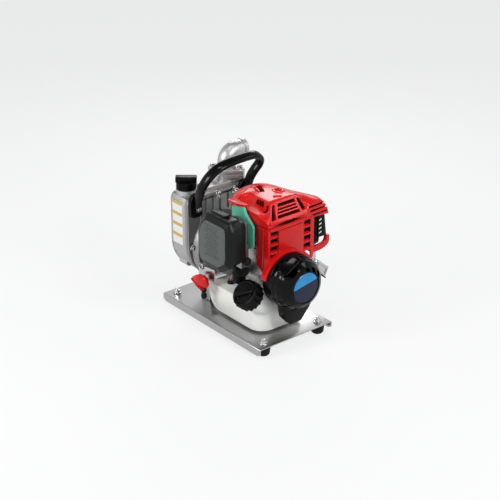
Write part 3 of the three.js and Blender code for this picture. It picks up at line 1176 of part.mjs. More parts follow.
function checkValve() {
  const { radius, thick, arm, width, pin, pinHalf, back } = FLAP;
  const z = CASING.portHeight;
  const y = [back - thick, back];
  const tab = box([-width / 2, width / 2], y, [z, z + arm]);
  const axle = alongX(-pinHalf, pinHalf, back - thick / 2, z + arm, pin);
  return join(alongY(...y, crankX, z, radius, ROUND_SIDES), tab, axle);
}

piece("suction_port", suctionPort(), MATERIAL.casting);
piece("check_valve", checkValve(), MATERIAL.rubber);

// Discharge elbow and priming cap

function elbowBore(radius, start, end, slack) {
  const { axis } = ELBOW;
  const { outletX, outletY } = CASING;
  const sphere = new THREE.SphereGeometry(radius, MIDDLE_SIDES, SMALL_SIDES).rotateX(Math.PI / 2);
  const ball = solid(sphere.translate(outletX, outletY, axis));
  const riser = alongZ(start - slack, axis, outletX, outletY, radius, MIDDLE_SIDES);
  return join(riser, alongX(outletX, end + slack, outletY, axis, radius, MIDDLE_SIDES), ball);
}

function dischargeElbow() {
  const { radius, rim, rimLength, bore, flange, end, axis } = ELBOW;
  const base = CASING.throatTop + GAP;
  let body = join(ovalFlange([base, base + flange]), elbowBore(radius, base + flange / 2, end, 0));
  body = join(body, alongX(end - rimLength, end, CASING.outletY, axis, rim, ROUND_SIDES));
  body = cut(body, elbowBore(bore, base, end, OVER));
  for (const [x, y] of ears) {
    body = cut(body, alongZ(base - OVER, base + flange + OVER, x, y, SCREW.radius + GAP, TINY_SIDES));
  }
  return body;
}

// A socket-head screw whose head sits on a face; the axis points out of that face.
function screw(seat, axis, length) {
  const inward = axis.map((value) => -value);
  const shank = rod(along(seat, axis, OVER / 2), inward, length + OVER / 2, SCREW.radius, SMALL_SIDES);
  const head = rod(seat, axis, SCREW.headHeight, SCREW.head);
  const top = along(seat, axis, SCREW.headHeight - SCREW.socketDepth);
  return cut(join(shank, head), rod(top, axis, SCREW.socketDepth + OVER, SCREW.socket, HEX_SIDES));
}

function primingCap() {
  const { radius, base, height, skirt, top, lugs, lug } = PRIMING_CAP;
  const { fillerX, fillerY } = CASING;
  let body = alongZ(base, base + height, fillerX, fillerY, radius, ROUND_SIDES);
  for (let k = 0; k < lugs; k++) {
    const turn = (2 * Math.PI * k) / lugs;
    const [x, y] = [fillerX + radius * Math.cos(turn), fillerY + radius * Math.sin(turn)];
    body = join(body, alongZ(base, base + height - lug, x, y, lug, TINY_SIDES));
  }
  return cut(body, alongZ(base - OVER, base + height - top, fillerX, fillerY, skirt, ROUND_SIDES));
}

piece("discharge_elbow", dischargeElbow(), MATERIAL.casting);
const elbowSeat = CASING.throatTop + GAP + ELBOW.flange + GAP;
ears.forEach(([x, y], k) => {
  const length = ELBOW.flange + CASING.throatPlate - SCREW.spare;
  piece("elbow_bolt_" + (k + 1), screw([x, y, elbowSeat], [0, 0, 1], length), MATERIAL.zinc);
});
piece("priming_cap", primingCap(), MATERIAL.black);
const primingStart = PRIMING_CAP.base + PRIMING_CAP.height - PRIMING_CAP.top - GASKET.thick - GAP;
const primingSeat = [CASING.fillerX, CASING.fillerY, primingStart];
const primingGasket = ringGasket(primingSeat, [0, 0, 1], CASING.fillerRadius, CASING.fillerBore);
piece("priming_cap_gasket", primingGasket, MATERIAL.rubber);

function drainPlug() {
  const { x, y, radius, head, stem, stemLength, bossBottom } = DRAIN;
  const under = bossBottom - GAP;
  const hex = alongZ(under - head, under, x, y, radius, HEX_SIDES);
  return join(hex, alongZ(under - OVER, under + stemLength, x, y, stem));
}

piece("drain_plug", drainPlug(), MATERIAL.brass);

// Handle and its bolts

function handle() {
  const h = HANDLE;
  const lean = THREE.MathUtils.degToRad(h.lean);
  const across = [0, Math.cos(lean), Math.sin(lean)];
  const path = h.pathShares.map(([u, v, w]) => {
    const [[x, y]] = spread([h.left, h.right], [h.front, h.rear], [[u, v]]);
    return [x, y, h.low + w * (h.high - h.low)];
  });
  let body = flatArch(path, across, h.width, h.depth, h.sides, h.steps);
  for (const x of [h.footLeft, h.footRight]) {
    const [x0, x1] = [x - h.footWidth / 2, x + h.footWidth / 2];
    const r = h.footWidth / 3;
    const pad = [[x0, h.footBottom, r], [x1, h.footBottom, r], [x1, h.footTop, r], [x0, h.footTop, r]];
    body = join(body, prism("y", pad, [h.back - h.footThick, h.back]));
  }
  body = cut(body, box([-2 * h.footTop, 2 * h.footTop], [h.back, 2 * h.back], [0, 2 * h.footTop]));
  for (const x of [h.footLeft, h.footRight]) {
    body = cut(body, alongY(0, h.back + OVER, x, h.boltHeight, SCREW.radius + GAP));
    body = cut(body, alongY(0, h.back - h.footThick, x, h.boltHeight, SCREW.head + 2 * GAP));
  }
  return body;
}

piece("handle", handle(), MATERIAL.glossBlack);
screwHoles.forEach((x, k) => {
  const seat = HANDLE.back - HANDLE.footThick - GAP;
  const length = HANDLE.footThick + HANDLE.boltDepth;
  piece("handle_bolt_" + (k + 1), screw([x, seat, HANDLE.boltHeight], [0, -1, 0], length), MATERIAL.zinc);
});

// Control bracket and lever

function controlBracket() {
  const { left, sheet, hole, front, back, bottom, top, shares } = BRACKET;
  const shape = spread([front, back], [bottom, top], shares.map(([u, v]) => [u, v, sheet]));
  const plate = prism("x", shape, [left, left + sheet]);
  return cut(plate, alongX(left - OVER, left + sheet + OVER, LEVER.pivotY, LEVER.pivotHeight, hole));
}

function controlLever() {
  const { left, right, pivotY, pivotHeight, hub, pin } = LEVER;
  const { pinEnd, rise, front, back, bottom: low, top, shares } = LEVER;
  const blade = spread([front, back], [low, top], shares.map(([u, v]) => [u, v, rise]));
  let body = prism("x", blade, [left, right]);
  body = join(body, alongX(left - rise, left + rise, pivotY, pivotHeight, hub));
  body = join(body, alongX(right - OVER, pinEnd, pivotY, pivotHeight, pin));
  const { x, y, bottom, radius, ball, ballShares } = STEM;
  body = join(body, rod([x, y, bottom], [0, 0, 1], pivotHeight - bottom, radius));
  const tip = ballShares.map(([out, up]) => [out * ball, up * ball]);
  return join(body, turned(tip, [x, y, bottom], [0, 0, 1], SMALL_SIDES));
}

piece("control_bracket", controlBracket(), MATERIAL.sheet);
piece("control_lever", controlLever(), MATERIAL.red);

export default pump;
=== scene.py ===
# %% [markdown]
# # A portable fire pump, dressed for a studio picture
# A small four-stroke engine drives a self-priming pump on a sheet base. The construction model
# gives every piece its size and place. This lesson gives the pieces their fine shapes and their
# finishes. Everything is in metres, with +Z up and the recoil starter towards -Y.

# %% Load the construction model
import json
import math

import bpy
from mathutils import Matrix, Vector

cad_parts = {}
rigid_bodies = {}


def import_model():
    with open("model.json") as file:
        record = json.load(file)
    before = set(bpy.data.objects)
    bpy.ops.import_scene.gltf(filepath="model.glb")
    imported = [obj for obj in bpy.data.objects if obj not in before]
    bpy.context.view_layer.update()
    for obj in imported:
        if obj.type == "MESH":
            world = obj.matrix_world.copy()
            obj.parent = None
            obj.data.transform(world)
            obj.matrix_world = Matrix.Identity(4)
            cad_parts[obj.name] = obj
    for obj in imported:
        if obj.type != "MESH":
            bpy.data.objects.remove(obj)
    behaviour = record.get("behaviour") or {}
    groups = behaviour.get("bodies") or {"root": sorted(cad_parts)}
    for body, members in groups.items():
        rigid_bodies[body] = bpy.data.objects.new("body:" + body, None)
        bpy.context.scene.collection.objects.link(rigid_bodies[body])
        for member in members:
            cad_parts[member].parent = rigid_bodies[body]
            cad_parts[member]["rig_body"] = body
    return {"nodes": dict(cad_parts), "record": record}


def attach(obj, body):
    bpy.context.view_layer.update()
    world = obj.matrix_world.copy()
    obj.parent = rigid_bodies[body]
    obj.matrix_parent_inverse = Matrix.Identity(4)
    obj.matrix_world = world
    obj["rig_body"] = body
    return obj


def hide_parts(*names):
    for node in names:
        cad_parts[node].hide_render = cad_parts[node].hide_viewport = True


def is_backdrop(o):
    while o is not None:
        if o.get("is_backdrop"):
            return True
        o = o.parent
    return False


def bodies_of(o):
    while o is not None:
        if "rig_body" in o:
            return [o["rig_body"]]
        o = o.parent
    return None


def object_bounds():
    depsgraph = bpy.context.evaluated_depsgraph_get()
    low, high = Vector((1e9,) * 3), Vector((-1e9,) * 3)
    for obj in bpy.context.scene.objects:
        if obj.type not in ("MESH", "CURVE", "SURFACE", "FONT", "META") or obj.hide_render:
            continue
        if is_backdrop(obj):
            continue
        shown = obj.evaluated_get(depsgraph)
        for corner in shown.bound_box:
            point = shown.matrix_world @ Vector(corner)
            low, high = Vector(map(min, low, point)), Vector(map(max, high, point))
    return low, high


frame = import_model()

construction_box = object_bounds()
print("pieces in the frame:", len(frame["nodes"]))

# %% [markdown]
# ## Camera
# The picture is taken from the front left, a little above the roof of the engine, with a long
# lens. A long lens keeps the upright edges almost parallel. The camera looks at one point and its
# place follows from two angles and a distance, which is easier to adjust than bare coordinates.

# %% Place the camera
MM = 0.001
AZIMUTH, ELEVATION = math.radians(-39.4), math.radians(25.39)
AIM = Vector((23.75, 17.1, 120.6)) * MM
CAMERA_DISTANCE = 2429.7 * MM
LENS = 97.67


def look_from(azimuth, elevation):
    """The direction from the aim point to a viewer."""
    flat = math.cos(elevation)
    return Vector((math.sin(azimuth) * flat, -math.cos(azimuth) * flat, math.sin(elevation)))


camera_data = bpy.data.cameras.new("studio_camera")
camera_data.lens = LENS
camera = bpy.data.objects.new("studio_camera", camera_data)
bpy.context.scene.collection.objects.link(camera)
camera.location = AIM + CAMERA_DISTANCE * look_from(AZIMUTH, ELEVATION)
camera.rotation_euler = look_from(AZIMUTH, ELEVATION).to_track_quat("Z", "Y").to_euler()
bpy.context.scene.camera = camera
print("camera at", [round(value, 3) for value in camera.location])

# %% [markdown]
# ## Shader arithmetic
# A finish is a small sum: a colour that wanders a little, a roughness that wanders with it and
# a fine relief. Node graphs are hard to read as code, so one class wraps a socket and gives it
# the signs of arithmetic, and another makes any node from its settings and its inputs.


# %% Wrap sockets and nodes
class Wire:
    """One output socket, with the arithmetic of numbers."""

    def __init__(self, shade, socket):
        self.shade, self.socket = shade, socket

    def maths(self, operation, first, second=0.0):
        return self.shade.node("Math", {"operation": operation}, {0: first, 1: second})

    def __add__(self, other):
        return self.maths("ADD", self, other)

    def __sub__(self, other):
        return self.maths("SUBTRACT", self, other)

    def __rsub__(self, other):
        return self.maths("SUBTRACT", other, self)

    def __mul__(self, other):
        return self.maths("MULTIPLY", self, other)

    def __truediv__(self, other):
        return self.maths("DIVIDE", self, other)

    def __gt__(self, other):
        return self.maths("GREATER_THAN", self, other)

    def __lt__(self, other):
        return self.maths("LESS_THAN", self, other)

    def fraction(self):
        return self.maths("FRACT", self)

    def size(self):
        return self.maths("ABSOLUTE", self)

    __radd__ = __add__
    __rmul__ = __mul__


class Shade:
    """A material under construction, with the Principled shader's sockets by name."""

    def __init__(self, name, **sockets):
        self.material = bpy.data.materials.new(name)
        self.material.use_nodes = True
        self.tree = self.material.node_tree
        self.shader = self.tree.nodes["Principled BSDF"]
        self.feed(self.shader, {key.replace("_", " "): value for key, value in sockets.items()})

    def feed(self, node, inputs):
        for key, value in inputs.items():
            if isinstance(value, Wire):
                self.tree.links.new(value.socket, node.inputs[key])
            else:
                node.inputs[key].default_value = value

    def node(self, kind, settings=None, inputs=None, out=0):
        made = self.tree.nodes.new("ShaderNode" + kind)
        for key, value in (settings or {}).items():
            if key == "stops":
                ends = made.color_ramp.elements
                for element, (place, colour) in zip(ends, value):
                    element.position, element.color = place, colour
            else:
                setattr(made, key, value)
        self.feed(made, inputs or {})
        return Wire(self, made.outputs[out])

    def place(self):
        return self.node("TexCoord", out="Object")

    def across(self, axis):
        return self.node("SeparateXYZ", None, {0: self.place()}, axis)

    def noise(self, size, detail=2.0, stretch=(1.0, 1.0, 1.0)):
        """Noise whose grains are about size millimetres across, drawn out by stretch."""
        scale = [1 / (size * MM * share) for share in stretch]
        where = self.node("Mapping", None, {"Vector": self.place(), "Scale": scale})
        return self.node("TexNoise", None, {"Vector": where, "Scale": 1.0, "Detail": detail})

    def mix(self, share, first, second):
        inputs = {"Factor": share, 6: first, 7: second}
        return self.node("Mix", {"data_type": "RGBA", "clamp_factor": True}, inputs, 2)

    def relief(self, height, depth):
        inputs = {"Height": height, "Distance": depth * MM, "Strength": 1.0}
        self.feed(self.shader, {"Normal": self.node("Bump", None, inputs)})


def grey(level, warm=0.0):
    return (level + warm, level, level - warm, 1.0)


def shaded(colour, gain):
    return (*(min(1.0, value * gain) for value in colour[:3]), 1.0)


# %% [markdown]
# ## Finishes
# Most finishes here differ only in a few values: cast alloy has coarse relief and an uneven
# shine, moulded plastic has a fine grain, and gloss plastic has a slow ripple that bends its
# highlights. One function takes those values, so that each finish is one readable entry.


# %% A general finish, and the plain ones made with it
def finish(name, colour, rough, metal=0.0, grain=0.6, depth=0.02, drift=0.06, patch=14.0, swing=0.1,
           stretch=(1.0, 1.0, 1.0), **sockets):
    """Colour drifts over patches, roughness swings with it, and grains stand depth mm proud."""
    shade = Shade(name, Metallic=metal, **sockets)
    broad = shade.noise(patch, 3.0)
    fine = shade.noise(grain, 2.0, stretch)
    tone = shade.mix(broad * 0.7 + fine * 0.3, shaded(colour, 1 - drift), shaded(colour, 1 + drift))
    shade.feed(shade.shader, {"Base Color": tone, "Roughness": rough + (broad - 0.5) * swing})
    shade.relief(fine + broad * 0.6, depth)
    return shade


RED = (0.57, 0.005, 0.006, 1.0)
DARK_PLASTIC = (0.006, 0.0075, 0.007, 1.0)
PANEL_GREY = (0.088, 0.1, 0.096, 1.0)
GREEN = (0.085, 0.43, 0.29, 1.0)
BRASS = (0.62, 0.42, 0.16, 1.0)
BROWN = (0.36, 0.22, 0.18, 1.0)
# colour, roughness, metal, grain and relief in mm, drift of the colour, patch in mm, swing of the
# roughness, specular level
PLAIN_FINISHES = {
    "cast_alloy": (grey(0.46), 0.46, 1.0, 0.9, 0.07, 0.16, 8.0, 0.22, 0.5),
    "dark_casting": (grey(0.3), 0.44, 0.9, 0.8, 0.06, 0.2, 8.0, 0.2, 0.5),
    "machined_steel": (grey(0.52), 0.28, 1.0, 0.3, 0.01, 0.05, 8.0, 0.1, 0.5),
    "zinc_fastener": (grey(0.55, 0.01), 0.26, 1.0, 0.3, 0.01, 0.08, 5.0, 0.12, 0.5),
    "brass": (BRASS, 0.3, 1.0, 0.3, 0.01, 0.08, 5.0, 0.1, 0.5),
    "red_cover": (RED, 0.24, 0.0, 1.4, 0.006, 0.05, 30.0, 0.06, 0.3),
    "gloss_black": (grey(0.002), 0.12, 0.0, 2.5, 0.006, 0.2, 25.0, 0.06, 0.13),
    "handle_black": (grey(0.003), 0.16, 0.0, 1.8, 0.006, 0.2, 20.0, 0.08, 0.15),
    "black_plastic": (grey(0.003), 0.3, 0.0, 0.5, 0.012, 0.2, 12.0, 0.1, 0.1),
    "rubber": (grey(0.007), 0.6, 0.0, 0.5, 0.02, 0.25, 10.0, 0.14, 0.15),
    "muffler_black": (grey(0.004), 0.5, 0.0, 0.4, 0.02, 0.3, 10.0, 0.15, 0.15),
    "air_cleaner_grey": (DARK_PLASTIC, 0.36, 0.0, 0.45, 0.015, 0.1, 16.0, 0.1, 0.15),
    "air_cleaner_panel": (PANEL_GREY, 0.42, 0.0, 0.45, 0.02, 0.06, 16.0, 0.1, 0.22),
    "insulator_green": (GREEN, 0.34, 0.0, 0.6, 0.015, 0.12, 12.0, 0.1, 0.5),
    "hose_grey": (BROWN, 0.3, 0.0, 0.6, 0.01, 0.08, 10.0, 0.1, 0.5),
    "foam": (grey(0.05), 0.9, 0.0, 0.9, 0.3, 0.4, 3.0, 0.1, 0.5),
}
FINISH = {}
for name, (*values, specular) in PLAIN_FINISHES.items():
    FINISH[name] = finish(name, *values, Specular_IOR_Level=specular)
print("plain finishes:", len(FINISH))

# %% [markdown]
# ## Rolled sheet, tank plastic and the printed films
# Rolled sheet shows fine lines along the roll, so its noise is drawn out along Y. The tank is
# blown from milky plastic, which lets some light in under its skin. The badge and the side film
# are plain colour fields, so a step on one or two coordinates paints them.

# %% Finishes with a pattern of their own
FINISH["base_sheet"] = finish("base_sheet", grey(0.42), 0.3, 1.0, 0.35, 0.006, 0.05, 40.0, 0.12,
                              stretch=(1.0, 60.0, 1.0))


def tank_plastic():
    shade = finish("tank_plastic", (0.86, 0.87, 0.83, 1.0), 0.36, 0.0, 1.2, 0.01, 0.025, 30.0,
                   Subsurface_Weight=0.35, Subsurface_Scale=0.01)
    shade.shader.inputs["Subsurface Radius"].default_value = (1.0, 0.9, 0.7)
    return shade


BADGE_LINE, BADGE_SLANT = 0.1285, 0.17
LABEL_BOTTOM, LABEL_TOP, LABEL_MIDDLE = 132.0 * MM, 214.0 * MM, 102.5 * MM
LABEL_BARS, LABEL_BAR_SHARE, LABEL_BAR_HALF = 4, 0.3, 14.0 * MM


def badge_film():
    """Light blue above a slanting line, navy below, with a slow sweep of tone in each."""
    shade = Shade("badge_blue", Roughness=0.22, Specular_IOR_Level=0.3)
    side = shade.across("Z") - shade.across("X") * BADGE_SLANT - BADGE_LINE
    sweep = shade.noise(22.0, 1.0, (1.0, 1.0, 2.5))
    light = shade.mix(sweep, (0.008, 0.15, 0.42, 1.0), (0.03, 0.3, 0.62, 1.0))
    navy = shade.mix(sweep, (0.001, 0.003, 0.014, 1.0), (0.003, 0.012, 0.05, 1.0))
    shade.feed(shade.shader, {"Base Color": shade.mix(side > 0.0, navy, light)})
    shade.relief(shade.noise(1.5), 0.004)
    return shade


def label_film():
    """Off-white film with four ochre bars that run across it."""
    shade = Shade("label_film", Roughness=0.34, Coat_Weight=0.2)
    within = ((shade.across("Z") - LABEL_BOTTOM) * (LABEL_BARS / (LABEL_TOP - LABEL_BOTTOM))).fraction()
    reach = (shade.across("Y") - LABEL_MIDDLE).size()
    bar = (within > 1 - LABEL_BAR_SHARE) * (reach < LABEL_BAR_HALF)
    wear = shade.noise(6.0, 4.0)
    paper = shade.mix(wear, grey(0.66, 0.01), grey(0.78, 0.01))
    ochre = shade.mix(wear, (0.42, 0.30, 0.03, 1.0), (0.60, 0.44, 0.08, 1.0))
    shade.feed(shade.shader, {"Base Color": shade.mix(bar, paper, ochre)})
    shade.relief(shade.noise(2.0), 0.006)
    return shade


FINISH.update(tank_plastic=tank_plastic(), badge_blue=badge_film(), label_film=label_film())
print("all finishes:", sorted(FINISH))

# %% [markdown]
# ## Studio
# The object stands on a pale floor under soft light. Light Path tells a shader what kind of ray
# asks, so the floor and the world show the pale backdrop to the camera and in reflections, while
# the object is lit by a dim, even fill and five lamps. One stands at the left and one in front.
# The other three shine on the slope, on the roof from behind and on the top.


# %% Floor, world and lamps
def deselect():
    if bpy.context.mode != "OBJECT":
        bpy.ops.object.mode_set(mode="OBJECT")
    bpy.ops.object.select_all(action="DESELECT")


BACKDROP = (0.96, 0.963, 0.967, 1.0)
FLOOR_SIZE = 30.0
FLOOR_GLOW = 0.78
FILL = 0.28
WORLD_FADE = {"From Min": 0.25, "From Max": 0.9, "To Min": 1.0, "To Max": 0.12}
LAMPS = {
    "key": (-98, 30, 1.6, (0.6, 0.4), 13), "front": (4, 34, 1.9, (0.5, 0.4), 17),
    "slope": (52, 42, 1.8, (0.4, 0.4), 3), "roof": (138.6, 35.1, 1.16, (0.6, 0.25), 3.8),
    "above": (-60, 78, 1.5, (0.5, 0.2), 4),
}


def pale_floor():
    deselect()
    bpy.ops.mesh.primitive_plane_add(size=FLOOR_SIZE, location=(0, 0, 0))
    floor = bpy.context.object
    floor.name = "floor"
    shade = Shade("floor", Roughness=0.9, Base_Color=grey(0.8))
    glow = shade.node("Emission", None, {"Color": BACKDROP, "Strength": 1.0})
    seen = sum((shade.node("LightPath", out=ray) for ray in ("Is Glossy Ray", "Is Transmission Ray")),
               shade.node("LightPath", out="Is Camera Ray")) * FLOOR_GLOW
    both = shade.node("MixShader", None, {0: seen, 1: Wire(shade, shade.shader.outputs[0]), 2: glow})
    shade.tree.links.new(both.socket, shade.tree.nodes["Material Output"].inputs["Surface"])
    floor.data.materials.append(shade.material)
    floor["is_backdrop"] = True
    return floor


def studio_world():
    """Diffuse light gets an even, dim fill. What is seen, mirrored or looked through is the backdrop."""
    world = bpy.data.worlds.new("studio")
    bpy.context.scene.world = world
    world.use_nodes = True
    tree = world.node_tree
    fill, shown = tree.nodes["Background"], tree.nodes.new("ShaderNodeBackground")
    fill.inputs["Color"].default_value, fill.inputs["Strength"].default_value = (1, 1, 1, 1), FILL
    shown.inputs["Color"].default_value = BACKDROP
    coordinates, split = tree.nodes.new("ShaderNodeTexCoord"), tree.nodes.new("ShaderNodeSeparateXYZ")
    tree.links.new(coordinates.outputs["Generated"], split.inputs[0])
    fade = tree.nodes.new("ShaderNodeMapRange")
    for key, value in WORLD_FADE.items():
        fade.inputs[key].default_value = value
    tree.links.new(split.outputs["Z"], fade.inputs["Value"])
    tree.links.new(fade.outputs["Result"], shown.inputs["Strength"])
    paths, mixed = tree.nodes.new("ShaderNodeLightPath"), tree.nodes.new("ShaderNodeMixShader")
    seen = paths.outputs["Is Camera Ray"]
    for other in ("Is Glossy Ray", "Is Transmission Ray"):
        added = tree.nodes.new("ShaderNodeMath")
        added.use_clamp = True
        tree.links.new(seen, added.inputs[0])
        tree.links.new(paths.outputs[other], added.inputs[1])
        seen = added.outputs[0]
    tree.links.new(seen, mixed.inputs[0])
    tree.links.new(fill.outputs[0], mixed.inputs[1])
    tree.links.new(shown.outputs[0], mixed.inputs[2])
    tree.links.new(mixed.outputs[0], tree.nodes["World Output"].inputs["Surface"])


def soft_lamp(name, azimuth, elevation, distance, size, watts):
    """A rectangle of light in metres and watts, seen from the aim point at two angles in degrees."""
    lamp = bpy.data.lights.new(name, "AREA")
    lamp.shape, lamp.size, lamp.size_y, lamp.energy = "RECTANGLE", size[0], size[1], watts
    holder = bpy.data.objects.new(name, lamp)
    bpy.context.scene.collection.objects.link(holder)
    toward = look_from(math.radians(azimuth), math.radians(elevation))
    holder.location = AIM + toward * distance
    holder.rotation_euler = toward.to_track_quat("Z", "Y").to_euler()


floor = pale_floor()
studio_world()
for name, values in LAMPS.items():
    soft_lamp(name, *values)
bpy.context.scene.view_settings.view_transform = "Standard"
print("lamps:", len(LAMPS))

# %% [markdown]
# ## Working tools
# Each piece starts as a primitive that is placed and shaped in edit mode, and is finished with
# modifiers that are applied. Four starts cover almost everything here: a block, an outline that
# is extruded along an axis, a profile that is spun round an axis, and a bar along a curve. Sizes
# are in millimetres.


# %% Blocks, outlines, spun profiles and swept bars
WELD = 2e-6


def take(piece):
    deselect()
    piece.select_set(True)
    bpy.context.view_layer.objects.active = piece
    return piece


def enter(piece, kind="VERT", action="SELECT"):
    """Enter edit mode on a piece with all or none of its elements selected."""
    take(piece)
    bpy.ops.object.mode_set(mode="EDIT")
    bpy.ops.mesh.select_mode(type=kind)
    bpy.ops.mesh.select_all(action=action)


def edit(piece, *steps):
    """Run edit mode steps on a piece with everything selected."""
    enter(piece)
    for step in steps:
        step()
    bpy.ops.object.mode_set(mode="OBJECT")
    return piece


def heal():
    bpy.ops.mesh.remove_doubles(threshold=WELD)
    bpy.ops.mesh.delete_loose()
    bpy.ops.mesh.select_all(action="SELECT")
    bpy.ops.mesh.normals_make_consistent(inside=False)


def named(name):
    piece = bpy.context.object
    piece.name = piece.data.name = name
    return piece


def laid(piece, axis=(0, 0, 1), at=(0, 0, 0), turn=0.0):
    """Lay a piece drawn round Z along an axis, turned about itself, at a place."""
    spin = Matrix.Rotation(math.radians(turn), 4, "Z")
    if tuple(axis) != (0, 0, 1):
        spin = Vector(axis).to_track_quat("Z", "Y").to_matrix().to_4x4() @ spin
    piece.data.transform(Matrix.Translation(Vector(at) * MM) @ spin)
    return piece


def block(name, low, high):
    deselect()
    bpy.ops.mesh.primitive_cube_add(size=1.0)
    piece = named(name)
    low, high = Vector(low) * MM, Vector(high) * MM
    piece.data.transform(Matrix.Translation((low + high) / 2) @ Matrix.Diagonal((*(high - low), 1.0)))
    return piece


def ring_of(name, points):
    """A closed loop of edges through points in metres."""
    deselect()
    bpy.ops.mesh.primitive_circle_add(vertices=len(points), fill_type="NOTHING")
    piece = named(name)
    for vertex, point in zip(piece.data.vertices, points):
        vertex.co = point
    return piece


def rounded(corners, steps=5):
    """Corners are (u, v) or (u, v, radius). Returns the outline with its corners rounded."""
    points = []
    for k, corner in enumerate(corners):
        here = Vector(corner[:2])
        radius = corner[2] if len(corner) > 2 else 0
        if not radius:
            points.append(here)
            continue
        before = (Vector(corners[k - 1][:2]) - here).normalized() * radius
        after = (Vector(corners[(k + 1) % len(corners)][:2]) - here).normalized() * radius
        for j in range(steps + 1):
            t = j / steps
            points.append(here + before * (1 - t) ** 2 + after * t ** 2)
    return points


def plate(name, axis, corners, low, high, steps=5):
    """An outline drawn across an axis, (y, z), (x, z) or (x, y), and extruded from low to high."""
    where = {"X": lambda u, v: (low, u, v), "Y": lambda u, v: (u, low, v), "Z": lambda u, v: (u, v, low)}
    piece = ring_of(name, [Vector(where[axis](*point)) * MM for point in rounded(corners, steps)])
    along = Vector([(high - low) * MM if letter == axis else 0 for letter in "XYZ"])
    return edit(
        piece,
        lambda: bpy.ops.mesh.edge_face_add(),
        lambda: bpy.ops.mesh.extrude_region_move(TRANSFORM_OT_translate={"value": along}),
        lambda: bpy.ops.mesh.select_all(action="SELECT"),
        heal,
    )


def spun(name, profile, at=(0, 0, 0), axis=(0, 0, 1), steps=64, turn=0.0):
    """A profile of (radius, along) that is spun round an axis."""
    piece = ring_of(name, [Vector((radius, 0, along)) * MM for radius, along in profile])
    edit(
        piece,
        lambda: bpy.ops.mesh.spin(steps=steps, angle=math.tau, center=(0, 0, 0), axis=(0, 0, 1)),
        lambda: bpy.ops.mesh.select_all(action="SELECT"),
        heal,
    )
    return laid(piece, axis, at, turn)


def rod(name, points, radius, sides=8, parts=6):
    """A round bar or hose along a smooth curve."""
    path = bpy.data.curves.new(name, "CURVE")
    path.dimensions = "3D"
    path.bevel_depth, path.bevel_resolution = radius * MM, sides
    path.resolution_u, path.use_fill_caps = parts, True
    spline = path.splines.new("BEZIER")
    spline.bezier_points.add(len(points) - 1)
    for knot, point in zip(spline.bezier_points, points):
        knot.co = Vector(point) * MM
        knot.handle_left_type = knot.handle_right_type = "AUTO"
    piece = bpy.data.objects.new(name, path)
    bpy.context.scene.collection.objects.link(piece)
    take(piece)
    bpy.ops.object.convert(target="MESH")
    return edit(bpy.context.object, heal)


# %% [markdown]
# ## Finishing tools
# Real edges are never sharp: a cast edge is rounded by a millimetre and a moulded one by less.
# A Bevel modifier breaks them, and a Boolean modifier cuts slots and windows. Both are applied, so
# that the mesh is the piece. A construction piece whose shape is right is copied, merged and
# given the same broken edges.


# %% Bevels, cuts, copies and the call that files a piece
def applied(piece, kind, **settings):
    modifier = piece.modifiers.new(kind.lower(), kind)
    for key, value in settings.items():
        setattr(modifier, key, value)
    take(piece)
    bpy.ops.object.modifier_apply(modifier=modifier.name)
    return piece


def bevelled(piece, width, segments=3, angle=30):
    return applied(piece, "BEVEL", width=width * MM, segments=segments, limit_method="ANGLE",
                   angle_limit=math.radians(angle), use_clamp_overlap=True)


def carved(pieces, *tools, folded=False):
    """Cut tools out of a piece, or out of each piece of a list. A folded skin may meet itself."""
    for piece in pieces if isinstance(pieces, list) else [pieces]:
        for tool in tools:
            applied(piece, "BOOLEAN", object=tool, operation="DIFFERENCE", solver="EXACT", use_self=folded)
    for tool in tools:
        bpy.data.objects.remove(tool)
    return pieces


def merged(*pieces):
    """Several meshes as one object; the first gives the name."""
    take(pieces[0])
    for piece in pieces[1:]:
        piece.select_set(True)
    if len(pieces) > 1:
        bpy.ops.object.join()
    return pieces[0]


def duplicate(piece):
    copy = piece.copy()
    copy.data = piece.data.copy()
    bpy.context.scene.collection.objects.link(copy)
    return copy


FLAT_WITHIN = math.radians(1.5)


def refined(node, width=0.5, segments=2, angle=28):
    """A merged copy of a construction piece, with broken edges. Facets of one flat face join."""
    source = bpy.data.objects[node]
    piece = bpy.data.objects.new(node + "_fine", source.data.copy())
    piece.data.materials.clear()
    bpy.context.scene.collection.objects.link(piece)
    edit(piece, heal, lambda: bpy.ops.mesh.dissolve_limited(angle_limit=FLAT_WITHIN))
    return bevelled(piece, width, segments, angle)


shown_pieces, remade_nodes = [], set()


def body_of(node):
    """The body that a construction piece rides on."""
    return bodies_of(frame["nodes"][node])[0]


def record_slot(node):
    """The material slot that the record gives a construction piece."""
    return next(part["material_slot"] for part in frame["record"]["subparts"] if part["node"] == node)


def filed(piece, finish_name, *nodes, body="pump_body", smooth=35):
    """Give a piece its finish and let it ride. A piece that stands for a node takes its body."""
    piece.data.materials.clear()
    piece.data.materials.append(FINISH[finish_name].material)
    take(piece)
    bpy.ops.object.shade_smooth_by_angle(angle=math.radians(smooth))
    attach(piece, body_of(nodes[0]) if nodes else body)
    record_slot(nodes[0]) if nodes else finish_name
    if nodes:
        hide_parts(*nodes)
        remade_nodes.update(nodes)
    shown_pieces.append(piece)
    return piece


print("tools ready")

# %% [markdown]
# ## Top cover
# The red top cover is a thin moulded shell. Its roof slopes down at the front into a grille frame
# and swells on the right into a shoulder over the muffler. A shell like this has no flat side to
# start from, so it is built from cross-sections: one ring is extruded to the next, a subdivision
# surface rounds the skin and Solidify gives the wall its thickness.

# %% A skin through rings of points
import bmesh


